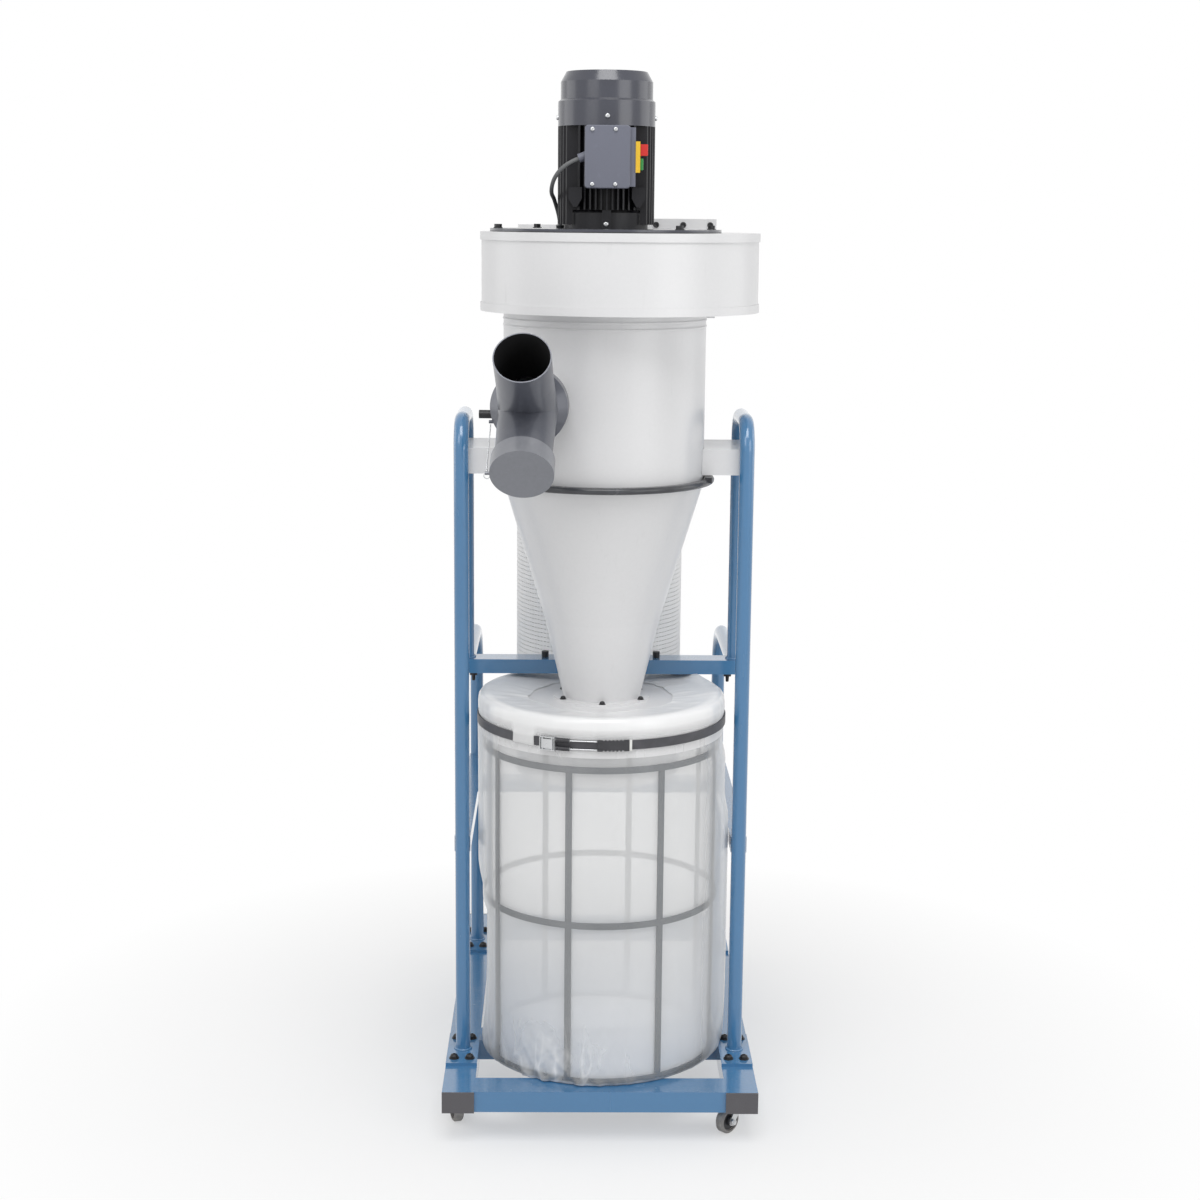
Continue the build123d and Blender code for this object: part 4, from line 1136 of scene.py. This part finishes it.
class SEPARATOR_OT_film_bag(Operator):
    """Hang the clear film bag from the lid, gathered under the strap and slack at its foot"""

    bl_idname = "separator.film_bag"
    bl_label = "Film bag"

    def execute(self, context):
        bag = context.scene.separator_bag
        foot = BAG_FOOT.z
        neck = self.neck_rows(bag)
        rows = self.foot_rows(foot) + self.wall_rows(bag, foot) + neck[:4]
        film = self.skin("film_bag", rows, bag.columns, foot)
        hand_over(film, "bag_film", smooth=180.0)
        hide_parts("dust_bag")
        rests = ["bin_lid", "bag_cage", "front_base_member", "middle_base_member"]
        self.declare(film, bag.columns, bag.wall, rests)
        collar = self.skin("film_collar", neck[3:], bag.columns, None)
        hand_over(collar, "bag_film", smooth=180.0)
        self.declare(collar, bag.columns, bag.wall, ["bin_lid"])
        haze = self.skin("film_haze", self.haze_rows(bag, foot), bag.haze_columns, None)
        hand_over(haze, "film_haze", smooth=180.0)
        self.declare(haze, bag.haze_columns, bag.veil, ["bag_cage"])
        return {"FINISHED"}

    def skin(self, name, rows, columns, foot):
        """A sheet from rows of points round the axis, closed at the foot when it has one."""
        mesh = bmesh.new()
        rings = []
        for row in rows:
            ring = []
            for column in range(columns):
                angle = 2 * math.pi * column / columns
                radius, height = row(angle - 2 * math.pi * (angle > math.pi))
                ring.append(mesh.verts.new(on_circle(radius, angle, height)))
            rings.append(ring)
        pole = None if foot is None else mesh.verts.new(from_axis((0.0, 0.0, foot)))
        for column in range(columns):
            after = (column + 1) % columns
            if pole is not None:
                mesh.faces.new((pole, rings[0][column], rings[0][after]))
            for low, high in zip(rings, rings[1:]):
                mesh.faces.new((low[column], high[column], high[after], low[after]))
        bmesh.ops.recalc_face_normals(mesh, faces=mesh.faces)
        sheet = bpy.data.meshes.new(name)
        mesh.to_mesh(sheet)
        mesh.free()
        piece = bpy.data.objects.new(name, sheet)
        bpy.context.scene.collection.objects.link(piece)
        return piece

    def declare(self, piece, columns, radius, rests):
        """Does nothing with the film."""

    def haze_rows(self, bag, foot):
        """Rows of the haze layer, from the foot of the cage up into the lid."""
        def row(height):
            def at(angle):
                return bag.veil + 0.0012 * round_noise(3.0, angle, 5.0 * height), height
            return at
        low, high = foot + 0.004, STRAP_LOW.z
        last = 40
        return [row(low + (high - low) * step / last) for step in range(last + 1)]

    def foot_rows(self, foot):
        """Flat rows of the foot, from the middle out, with crumples that stand up a little."""
        def row(radius):
            def at(angle):
                place = Vector((radius * math.cos(angle), radius * math.sin(angle), 0.4))
                rise = 0.004 * max(0.0, noise.noise(place * 26.0)) * ease(radius, 0.02, 0.20)
                return radius, foot + 0.0003 + rise
            return at
        outer, rows = 0.217, 10
        return [row(outer * (step + 1) / rows) for step in range(rows)]

    def wall_rows(self, bag, foot):
        """Rows of the wall, closer together at the crumpled foot."""
        def row(height):
            def at(angle):
                return self.wall_radius(bag, angle, height, foot), height
            return at
        first = foot + 0.0015
        last = STRAP_LOW.z - 0.004
        steps = [index / (bag.rows - 1) for index in range(bag.rows)]
        return [row(first + (last - first) * step ** 1.35) for step in steps]

    def wall_radius(self, bag, angle, height, foot):
        """Slack above the middle ring, drawn in between the bars below it, crumpled at the foot."""
        over = height - foot
        apart = min(abs(height - ring) for ring in CAGE_RINGS)
        between = abs(math.sin(4.0 * (angle - bag.bar_turn)))
        left = math.exp(-((angle + 1.65) / 0.75) ** 2)
        right = math.exp(-((angle - 1.62) / 0.55) ** 2)
        upper = ease(height, CAGE_RINGS[1] - 0.045, CAGE_RINGS[1] + 0.070)
        gather = math.exp((height - STRAP_LOW.z) / 0.045)
        hang = round_noise(9.0, angle, 1.4 * height)
        pleat = round_noise(26.0, angle, 5.0 * height)
        swell = noise.noise((1.9 * math.cos(angle) + 3.0, 1.9 * math.sin(angle), 3.2 * height))
        folds = bag.fold * (0.30 * hang + gather * (hang + 0.6 * pleat))
        loose = bag.wall + 0.0032 * left + 0.0016 * swell + folds
        pulled = bag.drawn * between * (0.25 + 0.75 * left) * (1.0 - right)
        drawn = bag.cage + 0.0012 + 0.0010 * swell - pulled
        radius = drawn + (loose - drawn) * upper
        pinch = 0.55 * ease(height, 0.555, 0.620) + 0.75 * ease(height, 0.680, 0.740)
        full = radius + (bag.wall + bag.bulge + 0.0010 * hang - radius) * right
        radius += (full - radius) * max(0.0, 1.0 - pinch)
        slack = math.exp(-over / 0.055)
        crumpled = slack * self.crumples(bag, angle, height)
        radius += slack * (0.2325 + 0.0090 * right - radius) + crumpled
        radius -= 0.0065 * math.exp(-over / 0.006)
        least = bag.cage - (bag.drawn + 0.001) * between * ease(apart, 0.006, 0.060)
        return min(bag.outer, max(least, radius))

    def crumples(self, bag, angle, height):
        """Sharp folds of the slack film at the foot, deepest in front on the left."""
        front = 0.20 + math.exp(-((angle + 0.34) / 0.48) ** 2)
        ridge = 1.0 - 2.6 * abs(round_noise(7.0, angle + 3.2 * height, 7.0 * height))
        cross = 1.0 - 2.6 * abs(round_noise(11.0, angle - 4.4 * height, 13.0 * height + 4.0))
        return bag.crumple * front * (0.75 * ridge + 0.45 * cross - 0.15)

    def neck_rows(self, bag):
        """Rows under the strap, over the raised rim of the lid and in to the wavy hem."""
        lid = LID_HIGH.x - AXIS.x
        crest = LID_HIGH.z
        seat_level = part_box("cyclone_cone")[0].z
        rise = crest - seat_level
        brow = lid - 0.022
        valley = brow - 0.014

        def under(height):
            def at(angle):
                degrees = math.degrees(angle)
                cover = ease(degrees, -46.0, -43.0) * (1.0 - ease(degrees, -33.0, -30.5))
                pleat = round_noise(15.0, angle, 14.0 * height)
                return lid + 0.0010 + 0.0004 * pleat + cover * (0.0046 + 0.0010 * pleat), height
            return at

        def shoulder(height, out):
            def at(angle):
                return lid + out + 0.0011 * round_noise(12.0, angle, 6.0 * height), height
            return at

        def top(part):
            def at(angle):
                ripple = round_noise(7.0, angle, 2.0 * part)
                edge = bag.hem + 0.014 * round_noise(2.4, angle, 7.0) + 0.004 * ripple
                radius = lid - 0.005 + (edge - lid + 0.005) * part
                slope = min(1.0, max(0.0, (radius - valley) / (brow - valley)))
                rest = seat_level + rise * slope
                rest = max(rest, seat_level + rise * (radius - edge) / (brow - edge) * 0.92)
                rest = min(crest, rest)
                aside = (math.degrees(angle) - 122.0) / 9.0
                stand_up = 0.009 * math.exp(-aside ** 2 - ((part - 0.12) / 0.10) ** 2)
                lift = 0.0016 * max(0.0, ripple) * (0.4 + part) + 0.0012
                return radius, rest + lift + stand_up
            return at

        strap = STRAP_HIGH.z - STRAP_LOW.z
        shoulders = (
            (STRAP_HIGH.z + 0.0035, 0.0019), (STRAP_HIGH.z + 0.012, 0.0026),
            (crest - 0.016, 0.0026), (crest - 0.006, 0.0014), (crest - 0.001, -0.0016),
        )
        rows = [under(STRAP_LOW.z + strap * step / 5) for step in range(6)]
        rows += [shoulder(height, out) for height, out in shoulders]
        return rows + [top(step / 12) for step in range(13)]


class SEPARATOR_OT_strap_tip(Operator):
    """Fit the pale moulded end of the strap beside the rack"""

    bl_idname = "separator.strap_tip"
    bl_label = "Strap tip"

    def execute(self, context):
        tip = block("strap_tip", 0.0050, 0.0034, 0.0205, (0.0, 0.0, 0.0))
        round_off(tip, lambda edge: True, 0.0011, 3)
        angle = math.radians(12.0)
        height = (STRAP_LOW.z + STRAP_HIGH.z) / 2
        middle = on_circle(STRAP_HIGH.x - AXIS.x + 0.0020, angle, height)
        place = Matrix.Translation(middle) @ Matrix.Rotation(angle, 4, "Z")
        hand_over(spread("strap_tip", tip, [place]), "tip_white")
        return {"FINISHED"}


class SEPARATOR_OT_frame_bolts(Operator):
    """Bolt the foot plates to the rails and put the stud nuts under the cross-member"""

    bl_idname = "separator.frame_bolts"
    bl_label = "Frame bolts"

    def execute(self, context):
        sizes = context.scene.separator_fasteners
        across, along = 0.015, 0.049
        ends = (-1, 1)
        places = []
        for post_y, side, x, y in product((FRONT_POST_Y, REAR_POST_Y), ends, ends, ends):
            point = (side * RAIL_X + x * across, post_y + y * along, PLATE_TOP)
            places.append(seat(point, UP, 0.3 * x))
        bolts = spread("foot_plate_bolts", domed_bolt("foot_bolt", sizes.foot_head), places)
        hand_over(bolts, "black_fitting")
        self.stud_nuts()
        return {"FINISHED"}

    def stud_nuts(self):
        """Nuts and stud ends under the cross-member, beside the posts."""
        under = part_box("upper_crossmember")[0].z
        nut = hexagon_bolt("member_nut", 0.015)
        stud = stand("member_stud", 20, 0.0038, 0.012, top=0.0030, foot=0.008)
        round_off(stud, level(0.020), 0.001, 2)
        model = fuse("member_nut", [nut, stud])
        inset = RAIL_X - 0.0125
        places = [seat((side * inset, MEMBER_Y, under), DOWN) for side in (-1, 1)]
        nuts = spread("crossmember_nuts", model, places)
        hand_over(nuts, "black_fitting")


class SEPARATOR_OT_body_bolts(Operator):
    """Bolt the cone to the lid, the motor plate to the housing and the outlet to the filter head"""

    bl_idname = "separator.body_bolts"
    bl_label = "Body bolts"

    def execute(self, context):
        sizes = context.scene.separator_fasteners
        flange_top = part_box("cyclone_cone")[0].z + 0.004
        step = 2 * math.pi / sizes.flange_count
        places = [
            seat(on_circle(sizes.flange_circle, step * index, flange_top), UP, 0.4 * index)
            for index in range(sizes.flange_count)
        ]
        cone = spread("cone_flange_bolts", domed_bolt("flange_bolt", sizes.flange_head), places)
        hand_over(cone, "black_fitting")
        middle = (PLATE_LOW + PLATE_HIGH) / 2
        places = []
        for index in range(sizes.plate_count):
            angle = math.radians(10.0) + 2 * math.pi * index / sizes.plate_count
            reach = Vector((math.cos(angle), math.sin(angle), 0.0)) * sizes.plate_circle
            point = Vector((middle.x, middle.y, PLATE_HIGH.z)) + reach
            places.append(seat(point, UP, 0.5 * index))
        plate = spread("motor_plate_bolts", hexagon_bolt("plate_bolt", sizes.plate_head), places)
        hand_over(plate, "black_fitting")
        self.outlet_bolts(sizes)
        return {"FINISHED"}

    def outlet_bolts(self, sizes):
        """Bolts along the top, the foot and the sides of the outlet flange."""
        low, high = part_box("outlet_neck")
        edge = 0.012
        xs = [low.x + edge + (high.x - low.x - 2 * edge) * step / 3 for step in range(4)]
        zs = [low.z + edge + (high.z - low.z - 2 * edge) * step / 3 for step in range(4)]
        corners = [(x, z) for x in xs for z in (zs[0], zs[3])]
        corners += [(x, z) for x in (xs[0], xs[3]) for z in zs[1:3]]
        face = AXIS.y + 0.262
        places = [seat((x, face, z), FRONT) for x, z in corners]
        model = hexagon_bolt("outlet_bolt", sizes.outlet_head)
        bolts = spread("outlet_flange_bolts", model, places)
        hand_over(bolts, "black_fitting")


class SEPARATOR_OT_motor_screws(Operator):
    """Screw down the switch cover, the fan cowl and the end bell"""

    bl_idname = "separator.motor_screws"
    bl_label = "Motor screws"

    def execute(self, context):
        sizes = context.scene.separator_fasteners
        middle = (COVER_LOW.z + COVER_HIGH.z) / 2
        places = [
            seat((AXIS.x + x, COVER_LOW.y, middle + z), FRONT, 0.5 + 9.0 * x)
            for x in (-0.027, 0.014) for z in (-0.0478, 0.0478)
        ]
        cover = spread("cover_screws", cross_screw("cover_screw", sizes.cover_head), places)
        hand_over(cover, "bright_plate")
        cowl_low, cowl_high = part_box("motor_fan_cowl")
        radius = (cowl_high.x - cowl_low.x) / 2
        centre = (cowl_low + cowl_high) / 2
        places = []
        for quarter in range(4):
            angle = math.pi / 2 * quarter
            way = Vector((math.sin(angle), -math.cos(angle), 0.0))
            point = Vector((centre.x, centre.y, cowl_low.z + 0.016)) + way * radius
            places.append(seat(point, way, 0.3 + quarter))
        cowl = spread("cowl_screws", cross_screw("cowl_screw", sizes.cowl_head), places)
        hand_over(cowl, "bright_plate")
        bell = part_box("motor_end_bell")[0]
        lug = spread(
            "bell_screw", cross_screw("bell_lug_screw", 0.009),
            [seat((AXIS.x - 0.001, bell.y, bell.z + 0.009), FRONT, 0.6)]
        )
        hand_over(lug, "bright_plate")
        return {"FINISHED"}


class SEPARATOR_OT_weld_beads(Operator):
    """Run weld beads round the posts where they meet the foot plates and the cross-member"""

    bl_idname = "separator.weld_beads"
    bl_label = "Weld beads"

    def execute(self, context):
        member_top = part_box("upper_crossmember")[1].z
        feet = ((FRONT_POST_Y, PLATE_TOP), (REAR_POST_Y, PLATE_TOP), (MEMBER_Y, member_top))
        places = [
            Matrix.Translation((side * RAIL_X, along, top + 0.0006))
            for side in (-1, 1) for along, top in feet
        ]
        model = bead_ring("post_weld", 0.0146, 0.0026, 26)
        beads = spread("post_welds", model, places)
        hand_over(beads, "frame_blue", smooth=70.0)
        return {"FINISHED"}


class SEPARATOR_OT_filter_sleeve(Operator):
    """Wrap the pleats in a sleeve of fine expanded mesh with a band at each end"""

    bl_idname = "separator.filter_sleeve"
    bl_label = "Filter sleeve"

    def execute(self, context):
        middle = (CANISTER_LOW + CANISTER_HIGH) / 2
        radius = (CANISTER_HIGH.x - CANISTER_LOW.x) / 2 + 0.0004
        low, high = CANISTER_LOW.z + 0.004, CANISTER_HIGH.z - 0.004
        ring = self.hoop("sleeve_wire", radius, 0.0006, 0.0076, 96)
        pitch = 0.0088
        hoops = [
            Matrix.Translation((middle.x, middle.y, low + pitch * index))
            for index in range(int((high - low) / pitch) + 1)
        ]
        wires = spread("sleeve_hoops", ring, hoops)
        face = (0.0, -radius - 0.0002, (low + high) / 2)
        post = block("sleeve_upright", 0.0042, 0.0005, high - low, face)
        turns = 120
        centre = Matrix.Translation((middle.x, middle.y, 0.0))
        uprights = [
            centre @ Matrix.Rotation(2 * math.pi * index / turns, 4, "Z") for index in range(turns)
        ]
        posts = spread("sleeve_uprights", post, uprights)
        sleeve = fuse("filter_sleeve", [wires, posts])
        hand_over(sleeve, "sleeve_white")
        band = self.hoop("sleeve_band", radius + 0.0006, 0.0010, 0.024, 120)
        places = [
            Matrix.Translation((middle.x, middle.y, height))
            for height in (low + 0.010, high - 0.010)
        ]
        bands = spread("sleeve_bands", band, places)
        hand_over(bands, "body_white")
        return {"FINISHED"}

    def hoop(self, name, radius, thick, height, sides):
        """A thin open ring, from a round blank without its ends."""
        piece = stand(name, sides, radius, height, foot=-height / 2)
        mark(piece, "FACE", lambda face: abs(face.normal.z) > 0.9)
        bpy.ops.mesh.delete(type="FACE")
        bpy.ops.object.mode_set(mode="OBJECT")
        take(piece)
        wall = piece.modifiers.new("wall", "SOLIDIFY")
        wall.thickness = thick
        wall.offset = 1.0
        bpy.ops.object.modifier_apply(modifier=wall.name)
        return piece


class SEPARATOR_OT_inlet_trim(Operator):
    """Fit the washer and screw of the collar knob and the split ring of the chain"""

    bl_idname = "separator.inlet_trim"
    bl_label = "Inlet trim"

    def execute(self, context):
        low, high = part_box("collar_knob")
        middle = (low + high) / 2
        washer = stand("knob_washer", 32, 0.0092, 0.0016)
        round_off(washer, level(0.0016), 0.0005, 2)
        neck = stand("knob_screw", 24, 0.0040, 0.0050, foot=-0.0020)
        model = fuse("knob_washer", [washer, neck])
        place = seat((high.x - 0.0004, middle.y, middle.z), (-1.0, 0.0, 0.0))
        trim = spread("knob_trim", model, [place])
        hand_over(trim, "chain_plate")
        self.chain_ring()
        return {"FINISHED"}

    def chain_ring(self):
        """A split ring where the chain meets the cap."""
        def in_gap(face):
            centre = face.calc_center_median()
            return abs(centre.y) < 0.0004 and centre.x > 0

        let_go()
        bpy.ops.mesh.primitive_torus_add(
            major_radius=0.0052, minor_radius=0.0007, major_segments=40, minor_segments=8
        )
        ring = label(bpy.context.object, "chain_ring")
        mark(ring, "FACE", in_gap)
        bpy.ops.mesh.delete(type="FACE")
        bpy.ops.object.mode_set(mode="OBJECT")
        middle = from_axis(CHAIN_ROUTE[-1]) + Vector((0.0, 0.0018, -0.0046))
        place = Matrix.Translation(middle) @ Matrix.Rotation(math.radians(78.0), 4, "X")
        ring = spread("chain_split_ring", ring, [place])
        hand_over(ring, "chain_plate", smooth=60.0)


class SEPARATOR_OT_caster_axles(Operator):
    """Fit a bolt head to both ends of each caster axle"""

    bl_idname = "separator.caster_axles"
    bl_label = "Caster axles"

    def execute(self, context):
        sizes = context.scene.separator_fasteners
        for corner in CORNERS:
            joint = JOINTS[corner + "_wheel_spin"]
            axle = Vector(joint["axis"]).normalized()
            centre = Vector(joint["pos_m"])
            half = self.fork_half(corner, centre, axle)
            model = hexagon_bolt(corner + "_axle_head", sizes.axle_head, 0.30)
            places = [
                seat(centre + axle * half * side, axle * side, 0.4 * side) for side in (-1, 1)
            ]
            heads = spread(corner + "_axle_heads", model, places)
            hand_over(heads, "bright_plate", body=corner + "_swivel")
        return {"FINISHED"}

    def fork_half(self, corner, centre, axle):
        """Half the width of a fork across its axle."""
        node = frame["nodes"][corner + "_caster_fork"]
        near = [point.co for point in node.data.vertices if abs(point.co.z - centre.z) < 0.012]
        return max(abs((point - centre).dot(axle)) for point in near)


class SEPARATOR_PT_pieces(Panel):
    """The pieces of the separator"""

    bl_label = "Cyclone separator"
    bl_idname = "SEPARATOR_PT_pieces"
    bl_space_type = "VIEW_3D"
    bl_region_type = "UI"
    bl_category = "Separator"

    def draw(self, context):
        for operator in OPERATORS:
            self.layout.operator(operator.bl_idname, text=operator.bl_label)
        for group in GROUPS:
            column = self.layout.column()
            settings = getattr(context.scene, group)
            for key in settings.__annotations__:
                column.prop(settings, key)


GROUPS = {
    "separator_colours": SeparatorColours,
    "separator_bag": SeparatorBag,
    "separator_fasteners": SeparatorFasteners,
    "separator_stage": SeparatorStage,
}
OPERATORS = (
    SEPARATOR_OT_stage,
    SEPARATOR_OT_finish_nodes,
    SEPARATOR_OT_motor_lead,
    SEPARATOR_OT_cap_chain,
    SEPARATOR_OT_film_bag,
    SEPARATOR_OT_strap_tip,
    SEPARATOR_OT_frame_bolts,
    SEPARATOR_OT_body_bolts,
    SEPARATOR_OT_motor_screws,
    SEPARATOR_OT_weld_beads,
    SEPARATOR_OT_filter_sleeve,
    SEPARATOR_OT_inlet_trim,
    SEPARATOR_OT_caster_axles,
)


def register():
    for group in GROUPS.values():
        bpy.utils.register_class(group)
    for operator in OPERATORS:
        bpy.utils.register_class(operator)
    bpy.utils.register_class(SEPARATOR_PT_pieces)
    for name, group in GROUPS.items():
        setattr(bpy.types.Scene, name, PointerProperty(type=group))


def unregister():
    for name in GROUPS:
        delattr(bpy.types.Scene, name)
    bpy.utils.unregister_class(SEPARATOR_PT_pieces)
    for operator in reversed(OPERATORS):
        bpy.utils.unregister_class(operator)
    for group in reversed(GROUPS.values()):
        bpy.utils.unregister_class(group)


def main():
    register()
    bpy.ops.separator.stage()
    bpy.ops.separator.finish_nodes()
    bpy.ops.separator.motor_lead()
    bpy.ops.separator.cap_chain()
    bpy.ops.separator.film_bag()
    bpy.ops.separator.strap_tip()
    bpy.ops.separator.frame_bolts()
    bpy.ops.separator.body_bolts()
    bpy.ops.separator.motor_screws()
    bpy.ops.separator.weld_beads()
    bpy.ops.separator.filter_sleeve()
    bpy.ops.separator.inlet_trim()
    bpy.ops.separator.caster_axles()


if __name__ == "__main__":
    main()
